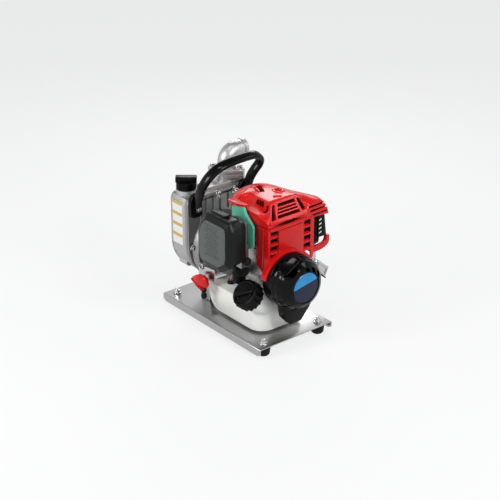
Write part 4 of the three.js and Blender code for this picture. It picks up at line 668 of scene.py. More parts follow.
def lofted(name, rings, ends=True):
    """Extrude one ring of points to the next. Points are in millimetres."""
    piece = ring_of(name, [Vector(point) * MM for point in rings[0]])
    enter(piece)
    order = {k: k for k in range(len(rings[0]))}
    for ring in rings[1:]:
        bpy.ops.mesh.extrude_edges_move()
        skin = bmesh.from_edit_mesh(piece.data)
        skin.verts.index_update()
        fresh = {}
        for vertex in skin.verts:
            if vertex.select:
                behind = next(edge.other_vert(vertex) for edge in vertex.link_edges
                              if not edge.other_vert(vertex).select)
                fresh[vertex.index] = order[behind.index]
                vertex.co = Vector(ring[order[behind.index]]) * MM
        order = fresh
        bmesh.update_edit_mesh(piece.data)
    bpy.ops.object.mode_set(mode="OBJECT")
    if ends:
        edit(
            piece,
            lambda: bpy.ops.mesh.select_all(action="DESELECT"),
            lambda: bpy.ops.mesh.select_non_manifold(),
            lambda: bpy.ops.mesh.fill_holes(sides=0),
        )
    return edit(piece, heal)


def select_where(piece, kind, wanted):
    """Enter edit mode with the faces or edges for which wanted(middle in mm, element) is true."""
    enter(piece, kind, "DESELECT")
    skin = bmesh.from_edit_mesh(piece.data)
    for element in skin.faces if kind == "FACE" else skin.edges:
        corners = [vertex.co for vertex in element.verts]
        if wanted(sum(corners, Vector()) / len(corners) / MM, element):
            element.select_set(True)
    bmesh.update_edit_mesh(piece.data)


print("loft tools ready")

# %% [markdown]
# The cross-sections run from the grille at the front to the round tail over the pump. Each lists
# x and z from the left hem over the ledge, the roof and the shoulder to the right hem. The hem
# is open underneath, because the cylinder stands inside the cover.

# %% The shell of the top cover
COVER_SECTIONS = {
    -104.0: [(-36, 220.5), (-36, 226), (-36, 229), (-35, 229.3), (-33, 229.6), (-8, 229.6), (22, 229.6),
             (50, 229.6),
             (54.5, 239), (69, 244.5), (84, 242.5), (97, 229), (100.5, 213)],
    -91.5: [(-36, 220.5), (-36, 230), (-36, 235), (-30, 236.5), (-24, 242), (-5, 242), (22, 242), (50, 242),
            (56, 244.5), (72, 247.5), (87, 243.5), (100, 228), (101.5, 212)],
    -79.5: [(-36, 220.5), (-36, 231), (-36, 237), (-17.5, 238.5), (-12, 254.4), (-2, 254.4), (23, 254.4),
            (48, 254.4),
            (57, 250), (74, 248), (88, 242), (100, 227), (101.5, 211)],
    -76.5: [(-36, 220.5), (-36, 231), (-36, 237.2), (-16.5, 238.7), (-11.5, 255), (-2, 256), (23, 256),
            (47.5, 255.6),
            (57, 250.5), (75, 247.5), (88, 241), (100, 226), (101.5, 211)],
    -60.0: [(-36, 220), (-36, 232), (-36, 238), (-15, 240), (-11, 254.6), (-1, 256), (23, 256.5), (47, 255.6),
            (57, 250.5),
            (73, 246.5), (87, 238), (99, 223), (100.5, 211)],
    -42.0: [(-36, 219), (-36, 233), (-36, 239), (-15, 242), (-9.5, 254.6), (0, 256), (22, 257), (45, 255.8),
            (57, 250), (69, 244.5), (85, 235), (96, 221), (97, 211)],
    -25.0: [(-36, 218), (-36, 233), (-36, 240), (-15, 244), (-8, 253.4), (1, 255.6), (20, 257), (42, 255.8),
            (54, 250),
            (63, 243.5), (76, 233), (84, 221), (85, 212)],
    -17.0: [(-36, 218), (-36, 233), (-35, 243), (-25, 249), (-11, 252.4), (1, 254.8), (20, 256.6),
            (41, 255.2), (53, 250),
            (62, 243), (73, 232), (79, 221), (80, 212)],
    -3.0: [(-34, 218), (-34, 232), (-32, 242), (-26, 247.5), (-16, 250.6), (-3, 253.4), (18, 255.2),
           (37, 254), (50, 249.5),
           (58, 242), (65, 231), (68, 220), (68, 213)],
    13.0: [(-24, 218), (-24, 229), (-21.5, 238), (-17, 243.5), (-9, 247.2), (2, 249.8), (18, 251), (33, 250),
           (44, 246),
           (50, 239), (55, 229), (57, 219), (57, 214)],
    22.0: [(-11, 218), (-11, 226), (-8.5, 232), (-5, 237), (1, 241), (8, 243), (17, 244), (27, 243),
           (35, 240),
           (40, 235), (44, 227), (46, 219), (46, 214)],
    27.0: [(-4, 218), (-4, 222), (-3, 226), (0, 230), (5, 232.5), (10, 234), (17, 235), (25, 234),
           (31, 231.5),
           (34, 228), (37, 223), (38, 218), (38, 215)],
}
COVER_WALL, UNDER_HEM, CREASE, SUBDIVISIONS = 2.3, 222.0, 0.75, 2
CORNERS = 13


def hem_of(section):
    """A ring on the straight hem below a section. It turns the end of the loft into a wall."""
    (left, foot), (right, heel) = section[0], section[-1]
    ring = []
    for k, (x, z) in enumerate(section):
        share = (0.5 * x + 0.5 * (left + (right - left) * k / (CORNERS - 1)) - left) / (right - left)
        ring.append((left + (right - left) * share, foot + (heel - foot) * share))
    return ring


def in_section(end):
    """The number of the section point at a place, or None on the hem."""
    section = COVER_SECTIONS[round(end.y, 1)]
    return next((k for k, (x, z) in enumerate(section) if abs(end.x - x) + abs(end.z - z) < 0.1), None)


rows = sorted(COVER_SECTIONS)
stations = [(rows[0], hem_of(COVER_SECTIONS[rows[0]])), *((y, COVER_SECTIONS[y]) for y in rows),
            (rows[-1], hem_of(COVER_SECTIONS[rows[-1]]))]
top_cover = lofted("top_cover_shell", [[(x, y, z) for x, z in section] for y, section in stations],
                   ends=False)
select_where(top_cover, "FACE", lambda middle, face: face.normal.z < -0.6 and middle.z < UNDER_HEM)
bpy.ops.mesh.delete(type="FACE")
bpy.ops.object.mode_set(mode="OBJECT")


def slope_edge(middle, edge):
    """The sides of the front slope, the foot and the top of the left wall, and the ledge's ends."""
    ends = [vertex.co / MM for vertex in edge.verts]
    rows = [in_section(end) for end in ends]
    if None in rows:
        return False
    if abs(ends[0].y - ends[1].y) > 1:
        sloping = middle.y < -79 and any(row in (4, 7) for row in rows)
        walled = -81 < middle.y < -20 and any(row in (2, 3, 4) for row in rows)
        return sloping or walled or (middle.y < -60 and rows[0] in (8, 10))
    at = round(ends[0].y, 1)
    front = at == -104 and rows != [0, 12] and rows != [12, 0]
    return front or (at == -76.5 and 3 < min(rows) and max(rows) < 8) or (at in (-25, -17) and max(rows) < 5)


select_where(top_cover, "EDGE", slope_edge)
bpy.ops.transform.edge_crease(value=CREASE)
bpy.ops.object.mode_set(mode="OBJECT")
applied(top_cover, "SUBSURF", levels=SUBDIVISIONS, render_levels=SUBDIVISIONS)
applied(top_cover, "SOLIDIFY", thickness=COVER_WALL * MM, offset=-1.0)
print("top cover faces:", len(top_cover.data.polygons))

# %% [markdown]
# The grille is a frame that stands a little proud of the front slope. Its slots are plain bars,
# cut right through the wall, so that the dark engine shows behind them. The slots are drawn as
# x and z, and the cutters run back along Y.

# %% The grille frame and its slots
SLOPE_ORIGIN = Vector((0, -104.0, 229.0))
SLOPE_UP = Vector((0, 26.0, 27.0)).normalized()
SLOPE_OUT = Vector((0, -27.0, 26.0)).normalized()


def on_slope(piece, lift=0.0):
    """Stand a piece drawn in x and y on the front slope of the cover."""
    basis = Matrix((Vector((1, 0, 0)), SLOPE_UP, SLOPE_OUT)).transposed().to_4x4()
    piece.data.transform(Matrix.Translation((SLOPE_ORIGIN + SLOPE_OUT * lift) * MM) @ basis)
    return piece


frame_shape = [(-34, -3, 3), (-14, 34, 3), (-8, 37, 2), (43, 37, 3), (49.5, 32, 3), (54, 2, 2), (51, -3, 2)]
grille = on_slope(plate("grille_frame", "Z", frame_shape, -3.0, 1.2))
slots = [
    [(-28.5, 232, 2), (-17.5, 232, 2), (-6.5, 251, 2), (-11.5, 251, 2)],
    [(41.5, 233, 2), (50.5, 234, 3), (48, 250, 3), (41.5, 251, 2)],
    [(-13, 232.8, 1.4), (36.5, 232.8, 1.4), (36.8, 236.8, 1.4), (-10.5, 236.8, 1.4)],
    [(-9, 238.6, 0.8), (36.5, 238.6, 0.8), (36.5, 241, 0.8), (-7.2, 241, 0.8)],
    [(-6.2, 242.6, 0.8), (36.6, 242.6, 0.8), (36.6, 245, 0.8), (-4.6, 245, 0.8)],
    [(-3.2, 246.8, 1.4), (37, 246.8, 1.4), (37.2, 251.2, 1.4), (0.4, 251.2, 1.4)],
]
carved([top_cover, grille], merged(*(plate("slot", "Y", slot, -114, -74) for slot in slots)), folded=True)
bevelled(grille, 0.6, 3)
print("faces after the cuts:", len(top_cover.data.polygons), len(grille.data.polygons))

# %% [markdown]
# The roof carries a boss with a screw hole, a step, a slanting notch with a lip and a groove that
# follows the round tail. The left side has a small window and the shoulder three slots. The
# height of the skin at a place is found by a ray from above, so boss and groove follow the curve.

# %% The boss
def skin_height(piece, x, y):
    """The height in millimetres of the skin at (x, y)."""
    return piece.ray_cast(Vector((x * MM, y * MM, 1.0)), Vector((0, 0, -1)))[1].z / MM


BOSS = (31.0, -50.0)
boss_base = skin_height(top_cover, *BOSS)
boss_profile = [(5.3, -3), (12, -3), (12, -0.4), (9, 1.5), (7.6, 1.8), (6.8, 1.4), (6, -0.6), (5.3, -2)]
boss = spun("roof_boss", boss_profile, (*BOSS, boss_base), steps=40)
boss_hole = spun("hole", [(0, -9), (5.4, -9), (5.4, 4), (0, 4)], (*BOSS, boss_base), steps=32)
print("boss at", round(boss_base, 1), "mm")

# %% Step, notch and groove
ROOF_LOW, ROOF_PROUD, ROOF_ABOVE = 252, 257.6, 262
step_shape = [(5, -66, 3), (17, -57, 2), (29, -64, 3), (20, -73, 3)]
step = bevelled(plate("roof_step", "Z", step_shape, 254, ROOF_PROUD), 0.9, 2)
hole_shape = [(9, -65, 2), (16, -61, 1), (18, -66, 2), (12, -70, 2)]
step_hole = plate("step_hole", "Z", hole_shape, ROOF_LOW, ROOF_ABOVE)
notch_shape = [(13, -6, 2), (24, -12, 2), (10, -41, 2), (3, -35, 2)]
notch = bevelled(plate("notch", "Z", notch_shape, ROOF_LOW, ROOF_ABOVE), 1.0, 2)
lip_shape = [(13, -9, 1), (4, -34, 1), (1, -34, 1), (8, -9, 1)]
lip = bevelled(plate("notch_lip", "Z", lip_shape, ROOF_LOW, ROOF_PROUD), 0.9, 2)
GROOVE_ROUTE = [(-35, -46), (-33, -28), (-24, -14), (-8, -7), (8, -6), (22, -9), (33, -18), (40, -34)]
groove = rod("groove", [(x, y, skin_height(top_cover, x, y) + 0.5) for x, y in GROOVE_ROUTE], 1.7)
print("groove:", len(groove.data.polygons), "faces")

# %% Window and slots, cut together with the rest
window = plate("window", "X", [(-66, 241, 2), (-44, 242, 2), (-46, 251, 2), (-64, 252, 2)], -40, 0)
shoulder_slots = []
for left, low in ((55, 233.5), (58, 225), (62, 216.5)):
    slot_shape = [(left, low, 1), (97, low + 2, 1), (97, low + 5, 1), (left, low + 4.4, 1)]
    shoulder_slots.append(plate("shoulder_slot", "Y", slot_shape, -112, -99.2))
lens = [(-29, 222.3, 2), (8, 226.4, 16), (46, 222.3, 2), (8, 218.8, 16)]
lens_slot = plate("lens_slot", "Y", lens, -110, -100, 8)
carved(top_cover, merged(boss_hole, step_hole, notch, groove, window, lens_slot, *shoulder_slots),
       folded=True)
window_bars = [bevelled(block("window_bar", (-13, y, 240), (-11, y + 1.4, 252)), 0.3) for y in (-59, -52)]
tab_shape = [(-47, -8, 3), (-34, -12, 2), (-34, -50, 2), (-42, -46, 4), (-47, -34, 4)]
tab = bevelled(plate("ledge_tab", "Z", tab_shape, 243.8, 247.5), 1.4, 3)
top_cover = merged(top_cover, grille, boss, step, lip, tab, *window_bars)
filed(top_cover, "red_cover", "top_cover", smooth=40)
print("top cover:", len(top_cover.data.polygons), "faces")

# %% [markdown]
# Behind the openings the engine lies in shade. Three thin black sheets stand behind the slots and
# paint that shade, so that the pale studio does not shine through them.

# %% Black sheets that paint the shade behind the slots
shade_sheet_shape = [(-29, -1), (-12, 28), (-8, 33), (43, 33), (50, 0)]
# These black sheets paint the shade behind the grille, the shoulder slots and the window.
shade_sheet = merged(on_slope(plate("cover_shade_sheet", "Z", shade_sheet_shape, -7.0, -6.0)),
                bevelled(block("shoulder_shade_sheet", (56, -98.6, 214), (94, -97.4, 236)), 0.4, 2),
                bevelled(block("window_shade_sheet", (-9, -70, 236), (-8, -38, 250)), 0.3, 2))
filed(shade_sheet, "black_plastic", smooth=30)
print("baffle:", len(shade_sheet.data.polygons), "faces")

# %% [markdown]
# ## Fan cover
# The front wall below the grille carries a flat raised panel between two columns of louvres, and
# flares out round the starter. The construction piece has the right wall and hood, so it is kept
# with broken edges. The panel, the slanting louvre blades, the rib on the flank and the pressed
# band under the grille are added as the pieces that the mould would form with it.

# %% Panel, blades and rib
FRONT_WALL = -103
LOUVRE_PITCH, LOUVRE_TOP = 14.3, 201.5
LOUVRE_COLUMNS = ((-32, -15, 5), (41, 57, 4))
fan_cover = refined("fan_cover", 0.9, 3)
panel_shape = [(-14.5, 152), (40.5, 152), (40.5, 212.5, 1.5), (-14.5, 212.5, 1.5)]
panel = bevelled(plate("front_panel", "Y", panel_shape, -106.6, FRONT_WALL), 0.7, 3)
blades = []
for left, right, count in LOUVRE_COLUMNS:
    for row in range(count):
        foot = LOUVRE_TOP - row * LOUVRE_PITCH
        section = [(-105.6, foot, 0.4), (-105.6, foot + 1.8, 0.4), (-101, foot + 4.4), (-101, foot + 2.8)]
        blades.append(plate("blade", "X", section, left, right, 2))
flank_rib = bevelled(block("flank_rib", (-37.2, -91.5, 144), (-34, -87.5, 217)), 1.0, 3)
band_shape = [(-33, 214.5, 2), (-33, 219.8, 2), (52, 219.8, 2), (52, 216, 2), (12, 213.4, 20)]
band = bevelled(plate("band", "Y", band_shape, -106, FRONT_WALL), 0.8, 3)
fan_cover = merged(fan_cover, panel, flank_rib, band, *blades)
filed(fan_cover, "red_cover", "fan_cover", smooth=40)
print("fan cover:", len(fan_cover.data.polygons), "faces,", len(blades), "blades")

# %% A black sheet that paints the shade behind the louvres
# This black sheet paints the shade inside the fan cover, behind the louvre slots.
wall_shade_sheet = bevelled(block("wall_shade_sheet", (-33.5, -99.5, 146), (60, -98.3, 216)), 0.4, 2)
carved(wall_shade_sheet, plate("shade_sheet_cut", "Y", [(40, 130), (70, 130), (70, 158), (44, 158)], -110, -90))
filed(wall_shade_sheet, "black_plastic", smooth=30)
print("wall baffle:", len(wall_shade_sheet.data.polygons), "faces")

# %% [markdown]
# ## Recoil starter
# The starter is a glossy black dome. It is turned in steps, with a window under the grip where
# the rope comes out, three cooling pockets at its upper right and ribs that run down its side.
# A profile spun round the crankshaft gives the dome, and the openings are cut into it.

# %% The dome
STARTER_AT = (0, -122, 122)
OUTWARD = (0, -1, 0)
dome_profile = [
    (49, 0), (49, 9.5), (48.4, 10.6), (47.8, 11), (47.4, 19.6), (46.8, 21), (45.6, 21.8), (44.2, 27.4),
    (43.2, 29), (40.4, 31.2), (38.6, 34.2), (37.4, 35.4), (33.6, 37.2), (31.4, 38.8), (30.2, 39.3),
    (29.4, 39.1), (28.8, 38.4), (27.6, 38.2), (0, 38.2), (0, 35.6), (30, 35.6), (36, 32.6), (41.6, 26.6),
    (44.8, 18), (46.4, 8), (46.4, 0),
]
dome = spun("starter_dome", dome_profile, STARTER_AT, OUTWARD, steps=96)
pockets = [
    [(0, 158, 2), (9, 156, 2), (8.5, 144, 2), (4, 143, 2)],
    [(14, 156, 2), (22, 151, 2), (20.5, 138, 2), (14.5, 141, 2)],
    [(27, 149, 2), (34, 141, 2), (31, 132, 2), (24.5, 136, 2)],
]
cutters = [plate("pocket", "Y", pocket, -162, -149.5) for pocket in pockets]
window_shape = [(-35, 149, 3), (-31, 165, 4), (-13, 169, 4), (-9, 162, 3), (-27, 146, 3)]
rope_window = plate("rope_window", "Y", window_shape, -165, -147)
carved(dome, *cutters, rope_window)
print("starter dome:", len(dome.data.polygons), "faces")

# %% [markdown]
# Thin ribs climb the dome like the ribs of an umbrella. Each is drawn once in the plane of the
# axis, a little above the dome's profile, and copied round it where the real one has them.

# %% The ribs and the chute below
rib_section = [(47.2, 9), (48.4, 10), (47.6, 20.6), (44.8, 28), (39.2, 34.6), (32.6, 38.2), (30, 37),
               (38, 30), (43, 24)]
first_rib = plate("starter_rib", "Y", rib_section, -0.6, 0.6, 2)
ribs = []
for degrees in (108, 140, 222, 250, 292, 318):
    ribs.append(laid(duplicate(first_rib), OUTWARD, STARTER_AT, degrees))
bpy.data.objects.remove(first_rib)
CHUTE = {
    -122.0: [(-30, 94), (-30, 76), (-27, 62), (-14, 47.5), (13, 46.5), (28, 64), (33, 76), (33, 94)],
    -131.0: [(-30, 94), (-30, 76), (-27, 61), (-14, 47), (12, 46), (29, 65), (34, 76), (34, 94)],
    -137.5: [(-28, 94), (-28, 76), (-24, 60), (-12.5, 46.6), (11, 46), (30, 67), (34, 76), (34, 94)],
}
chute = lofted("starter_chute", [[(x, y, z) for x, z in ring] for y, ring in CHUTE.items()])
bevelled(chute, 1.6, 4, 20)
print("chute:", len(chute.data.polygons), "faces,", len(ribs), "ribs")

# %% Join and file
starter = merged(dome, chute, *ribs)
filed(starter, "gloss_black", "starter_case", smooth=32)
print("starter:", len(starter.data.polygons), "faces")

# %% [markdown]
# ## Badge and grip
# The badge is a thin domed disc with a plain two-colour film. The grip is a moulded T that lies
# across the dome, held by the rope. It slides out with its own body.

# %% Badge
badge_profile = [(0, 0), (27, 0), (27, 0.5), (26.4, 1.0), (20, 1.25), (0, 1.3)]
BADGE_AT = (0, -160.2, 122)
badge = spun("badge_disc", badge_profile, BADGE_AT, OUTWARD, steps=96)
filed(badge, "badge_blue", "starter_badge", smooth=30)
badge_ring = spun("badge_ring", [(27.2, -1.5), (29.2, -1.5), (29.2, 0.6), (28.2, 1.2), (27.2, 0.6)],
                  BADGE_AT, OUTWARD, steps=96)
filed(badge_ring, "gloss_black")

# %% Grip
GRIP_CENTRE = Vector((-28, -151, 167.5))
GRIP_BAR = Vector((0.866, 0, 0.5)).normalized()
GRIP_PULL = Vector((-0.447, -0.447, 0.775)).normalized()
GRIP_SIDE = GRIP_BAR.cross(GRIP_PULL).normalized()


def on_grip(piece):
    """Lay a piece drawn with x along the bar and y along the pull on the grip."""
    basis = Matrix((GRIP_BAR, GRIP_SIDE.cross(GRIP_BAR), GRIP_SIDE)).transposed().to_4x4()
    piece.data.transform(Matrix.Translation(GRIP_CENTRE * MM) @ basis)
    return piece


bar_shape = [(-24, -3, 4), (-22, 4.5, 5), (0, 6.6, 14), (22, 4.5, 5), (24, -3, 4), (12, -6, 6), (-12, -6, 6)]
grip_bar = bevelled(plate("starter_grip_bar", "Z", bar_shape, -6.2, 6.2, 6), 2.6, 5, 40)
inlay_shape = [(-17, -2.5, 2), (-15, 3, 2), (15, 3, 2), (17, -2.5, 2)]
grip_inlay = bevelled(plate("grip_inlay", "Z", inlay_shape, -7.0, 7.0), 0.6, 2)
stem_profile = [(0, 0), (5, 0), (4.2, -6), (3.6, -10.5), (0, -10.5)]
grip_stem = spun("grip_stem", stem_profile, axis=(0, 1, 0), steps=24)
grip = on_grip(merged(grip_bar, grip_inlay, grip_stem))
filed(grip, "gloss_black", "starter_grip")
print("grip:", len(grip.data.polygons), "faces")

# %% [markdown]
# ## Air cleaner
# The air cleaner is a deep dark shell with its corners cut off. Its outer face is a lighter panel
# on a wide chamfer, with rows of plain moulded lines. The outlines are drawn across X, stacked
# from the case outwards, and skinned, because each one is a smaller copy of the last.

# %% Cover and panel
AIR_OUTLINE = [(-62, 143.2), (-86, 160), (-90, 176), (-90, 228), (-82, 242), (-66, 244), (-21, 244),
               (-4, 226),
               (3, 206), (3, 166), (-3, 150), (-14, 143.2)]


def shrunk(corners, margin):
    """The outline with every side moved inwards by a margin."""
    moved = []
    for k, corner in enumerate(corners):
        here, before, after = Vector(corner), Vector(corners[k - 1]), Vector(corners[(k + 1) % len(corners)])
        first, second = (here - before).normalized(), (after - here).normalized()
        normals = [Vector((-side.y, side.x)) for side in (first, second)]
        middle = (normals[0] + normals[1]).normalized()
        moved.append(here - middle * margin / middle.dot(normals[0]))
    return [tuple(point) for point in moved]


def stacked(name, levels):
    """Levels are (x, margin): the outline at x, shrunk by the margin."""
    rings = [[(x, y, z) for y, z in shrunk(AIR_OUTLINE, margin)] for x, margin in levels]
    return lofted(name, rings)


shell_levels = [(-96.3, 0.3), (-97.5, 0.3), (-101.5, 1.2), (-104, 2.6), (-108.2, 9.5), (-108.2, 11.5),
                (-106.4, 12.5)]
air_cover = bevelled(stacked("air_cover_shell", shell_levels), 1.4, 3, 14)
panel_levels = [(-105.8, 11.6), (-108.8, 11.6), (-110, 13.2)]
air_panel = bevelled(stacked("air_panel", panel_levels), 0.7, 2, 20)
filed(air_cover, "air_cleaner_grey", "air_cleaner_cover", smooth=30)
print("air cleaner shell:", len(air_cover.data.polygons), "faces")

# %% Moulded lines and the case
LINE_ROWS, LINE_PITCH, LINE_TOP = 14, 4.3, 226
line_cutters = []
for row in range(LINE_ROWS):
    height = LINE_TOP - row * LINE_PITCH
    low, high = (-111, -64 + row % 3 * 3, height), (-109.3, -24 - row * 7 % 10, height + 1.5)
    line_cutters.append(block("line_cut", low, high))
carved(air_panel, *line_cutters)
filed(air_panel, "air_cleaner_panel", smooth=30)
air_case = refined("air_cleaner_case", 1.2, 3)
ridge_shape = [(-99, 243, 1), (-96, 246.5, 2), (-84, 246.5, 2), (-80, 242, 1)]
ridge = bevelled(plate("air_ridge", "Y", ridge_shape, -60, -26), 1, 3)
air_case = merged(air_case, ridge)
filed(air_case, "air_cleaner_grey", "air_cleaner_case", smooth=30)
print("panel and case:", len(air_panel.data.polygons), len(air_case.data.polygons))

# %% [markdown]
# ## Fuel tank
# The tank is blow moulded from milky plastic, so it has no sharp edge: big upright corners, a
# softly rounded top and a raised seam. A block is enough to start from. Its upright edges are
# bevelled first, then the rim of the top and of the bottom.

# %% The tank's body
def bevel_edges(piece, wanted, width, segments):
    select_where(piece, "EDGE", wanted)
    bpy.ops.mesh.bevel(offset=width * MM, segments=segments, profile=0.5, affect="EDGES", clamp_overlap=True)
    bpy.ops.object.mode_set(mode="OBJECT")
    return piece


def upright(edge):
    first, second = (vertex.co for vertex in edge.verts)
    return abs(first.z - second.z) > 10 * MM


TANK_LOW, TANK_HIGH = (-53, -103, 26), (53, 38, 75)
tank = block("tank_body", TANK_LOW, TANK_HIGH)


def at_bottom(middle):
    return middle.z < TANK_LOW[2] + 1


def at_back(middle):
    return middle.y > TANK_HIGH[1] - 1


bevel_edges(tank, lambda middle, edge: not upright(edge) and at_back(middle) and at_bottom(middle), 32, 8)
bevel_edges(tank, lambda middle, edge: upright(edge) and middle.y < TANK_LOW[1] + 1, 27, 8)
bevel_edges(tank, lambda middle, edge: upright(edge) and at_back(middle), 24, 7)
bevel_edges(tank, lambda middle, edge: abs(middle.z - TANK_HIGH[2]) < 0.1, 13, 6)
bevel_edges(tank, lambda middle, edge: not upright(edge) and at_bottom(middle), 5, 4)
bevelled(tank, 9, 5, 35)
print("tank faces:", len(tank.data.polygons))

# %% [markdown]
# The neck leans towards the user. Its thread is hidden under the cap, so it stays smooth. The seam
# of the mould runs up the front. The cap is a ring of grip lugs round a sunken top with a bar
# across it. The lugs are the teeth of an outline, drawn by a function that serves other pieces too.

# %% Neck, seam and skids
NECK_AXIS = Vector((-0.766, 0, 0.643)).normalized()
CAP_AT = Vector((-54, -82, 90.5))


def on_neck(distance):
    return tuple(CAP_AT + NECK_AXIS * distance)


neck_profile = [(0, -34), (22, -34), (21, -8), (18.5, -2), (18.5, 16.5), (15.5, 16.5), (15.5, -12), (0, -12)]
neck = spun("tank_neck", neck_profile, on_neck(0), NECK_AXIS, 56)
seam = rod("tank_seam", [(46, -95, 34), (48, -96.5, 45), (46, -97, 58), (38, -95, 70), (22, -92, 75)], 2.2)
skids = [bevelled(block("tank_skid", (-30, y - 6, 21.3), (30, y + 6, 30)), 1.5, 3) for y in (-80, -6)]
tank = merged(tank, neck, seam, *skids)
filed(tank, "tank_plastic", "fuel_tank", smooth=50)
print("tank with neck:", len(tank.data.polygons), "faces")

# %% The fuel cap
CAP_LUGS = 16


def toothed(count, tooth, centre=(0.0, 0.0)):
    """A round outline of equal teeth. A tooth is pairs of its share of the pitch and a radius."""
    stops = [(math.tau * (k + share) / count, reach) for k in range(count) for share, reach in tooth]
    return [(centre[0] + reach * math.cos(turn), centre[1] + reach * math.sin(turn)) for turn, reach in stops]


cap_profile = [(0, 18.6), (24.8, 18.6), (24.8, 20.6), (23.4, 22.2), (21, 22.6), (19.6, 21.8), (18.6, 20.2),
               (0, 20.2)]
lugs_outline = toothed(CAP_LUGS, ((0.0, 26.4), (0.22, 26.4), (0.34, 24.9), (0.88, 24.9)))
cap_body = bevelled(plate("fuel_cap_body", "Z", lugs_outline, -0.5, 19.5), 1.1, 3, 25)
cap_crown = spun("cap_crown", cap_profile)
cap_hollow = spun("cap_hollow", [(0, -2), (19.1, -2), (19.1, 18.5), (0, 18.5)])
carved(cap_body, cap_hollow)
cap_bar = bevelled(block("cap_bar", (-20.5, -4.4, 19), (20.5, 4.4, 25.6)), 1.8, 4)
cap_grips = [bevelled(block("cap_tooth", (x - 2, -9, 19), (x + 2, 9, 22.4)), 1, 3) for x in (-13, 13)]
cap = laid(merged(cap_body, cap_crown, cap_bar, *cap_grips), NECK_AXIS, on_neck(0), 35)
filed(cap, "black_plastic", "fuel_cap")
print("fuel cap:", len(cap.data.polygons), "faces")

# %% [markdown]
# ## Pump housing
# The pump is a cover and a casing of cast alloy, bolted together. Castings of this kind have a
# machined rim that shines, a rougher face with ribs, and bolts in small bosses. The two castings
# keep the construction's walls. The rim, the ribs and the bosses are added to them.

# %% Rim and ribs of the pump cover
PUMP_HALF, PUMP_MIDDLE, PUMP_TOP = 72.0, 135.0, 226.0
RIB_FRONT, RIB_BACK = 72.6, 76.0


def pump_outline(inset, corner=13.0, steps=28):
    """The outline of the pump across Y: square shoulders over a half circle."""
    side = PUMP_HALF - inset
    points = [(side, PUMP_TOP - inset, corner), (-side, PUMP_TOP - inset, corner)]
    for k in range(steps + 1):
        turn = math.pi * (1 + k / steps)
        points.append((side * math.cos(turn), PUMP_MIDDLE + side * math.sin(turn)))
    return points


pump_cover = refined("pump_cover", 1.0, 3)
rim = plate("pump_rim", "Y", pump_outline(0.6), RIB_FRONT, RIB_BACK)
carved(rim, plate("rim_inside", "Y", pump_outline(5.0), 70, 80))
bevelled(rim, 0.7, 3)
ribs = [bevelled(block("pump_rib", (x, RIB_FRONT, low), (x + 2.4, RIB_BACK, 221)), 0.8, 2)
        for x, low in ((-44, 150), (-30, 160), (-14, 178), (2, 186), (20, 186), (38, 178), (52, 160))]
sill_shape = [(-66, 214, 2), (66, 219, 2), (66, 221.5, 2), (-66, 217, 2)]
sill = bevelled(plate("pump_sill", "Y", sill_shape, 72.4, RIB_BACK), 0.8, 2)
pump_cover = merged(pump_cover, rim, sill, *ribs)
filed(pump_cover, "dark_casting", "pump_cover")
print("pump cover:", len(pump_cover.data.polygons), "faces")

# %% Cover bolts
BOLTS = [(-5, 218), (-61, 131), (-41, 83), (61, 131), (41, 83), (34, 218), (0, 66)]
bolt_profile = [(0, -4), (7.5, -4), (7.5, 1.5), (5.2, 2.2), (5.2, 6.2), (4.4, 7), (2.6, 7), (2.6, 4.4),
                (0, 4.4)]
bolts = merged(*(spun("cover_bolt", bolt_profile, (x, 74, z), (0, -1, 0), 32) for x, z in BOLTS))
filed(bolts, "zinc_fastener")
print("cover bolts:", len(BOLTS))

# %% [markdown]
# The top of the casing rises in a ledge under the outlet, with a small web at both sides of the
# neck. The film on the left side is a thin plate of its own, because its colour fields start at
# its edge. The legs stand close to the middle, under the front of the pump, and taper upwards.

# %% Casing and legs
LEG_X, LEG_REACH = 31, 78
ROUND_BODY = [(0, 0), (71.6, 0), (71.6, 60), (0, 60)]
casing = refined("pump_casing", 1.0, 3)
for side in (-1, 1):
    near, far = side * LEG_X, side * LEG_REACH
    below = plate("below", "Y", [(near, 18), (near, 100), (far, 100), (far, 18)], 78, 126)
    carved(below, spun("round_body", ROUND_BODY, (0, 72, PUMP_MIDDLE), (0, 1, 0), 96))
    carved(casing, below)
legs = []
for x in (-LEG_X, LEG_X):
    leg_shape = [(x - 7, 21), (x + 7, 21), (x + 5.5, 82), (x - 5.5, 82)]
    legs.append(bevelled(plate("pump_leg", "Y", leg_shape, 58, 84), 2, 3))
print("casing without its old legs:", len(casing.data.polygons), "faces")

# %% Ledge, webs, lugs and film
ledge_shape = [(-30, 224), (-22, 231.5, 3), (64, 231.5, 4), (69, 224)]
ledge = bevelled(plate("casing_ledge", "Y", ledge_shape, 82, 121.5), 1.4, 3)
webs = []
for x in (6, 44):
    web_shape = [(x, 230), (x + 12, 242), (x + 15, 242), (x + 15, 230)]
    webs.append(bevelled(plate("casing_web", "Y", web_shape, 99, 103), 0.8, 2))
seam_band = plate("casing_band", "Y", pump_outline(0.0, 14), 120.4, 122.4)
lugs = [spun("casing_lug", [(0, 0), (7, 0), (7, 22), (6, 24), (0, 24)], (x, 96, z), (0, 1, 0), 32)
        for x, z in ((-64.6, 212), (64.6, 212), (-52, 90), (52, 90))]
casing = merged(casing, ledge, *webs, seam_band, *lugs, *legs)
filed(casing, "cast_alloy", "pump_casing")
film_shape = [(88, 132, 2), (117, 132, 2), (117, 214, 2), (88, 214, 2)]
film = bevelled(plate("side_film", "X", film_shape, -72.5, -71.9), 0.15, 1)
filed(film, "label_film", smooth=30)
print("casing:", len(casing.data.polygons), "faces")

# %% [markdown]
# ## Discharge elbow
# Water leaves through a smooth cast bend. Its sections are circles that turn through a right
# angle, so it is lofted. A hull of three circles gives its oval flange.

# %% Rings of the bend and the outline of the flange
ELBOW_AT = (37.5, 101.0)
ELBOW_AXIS, ELBOW_END, BEND = 281.0, 78.0, 20.0


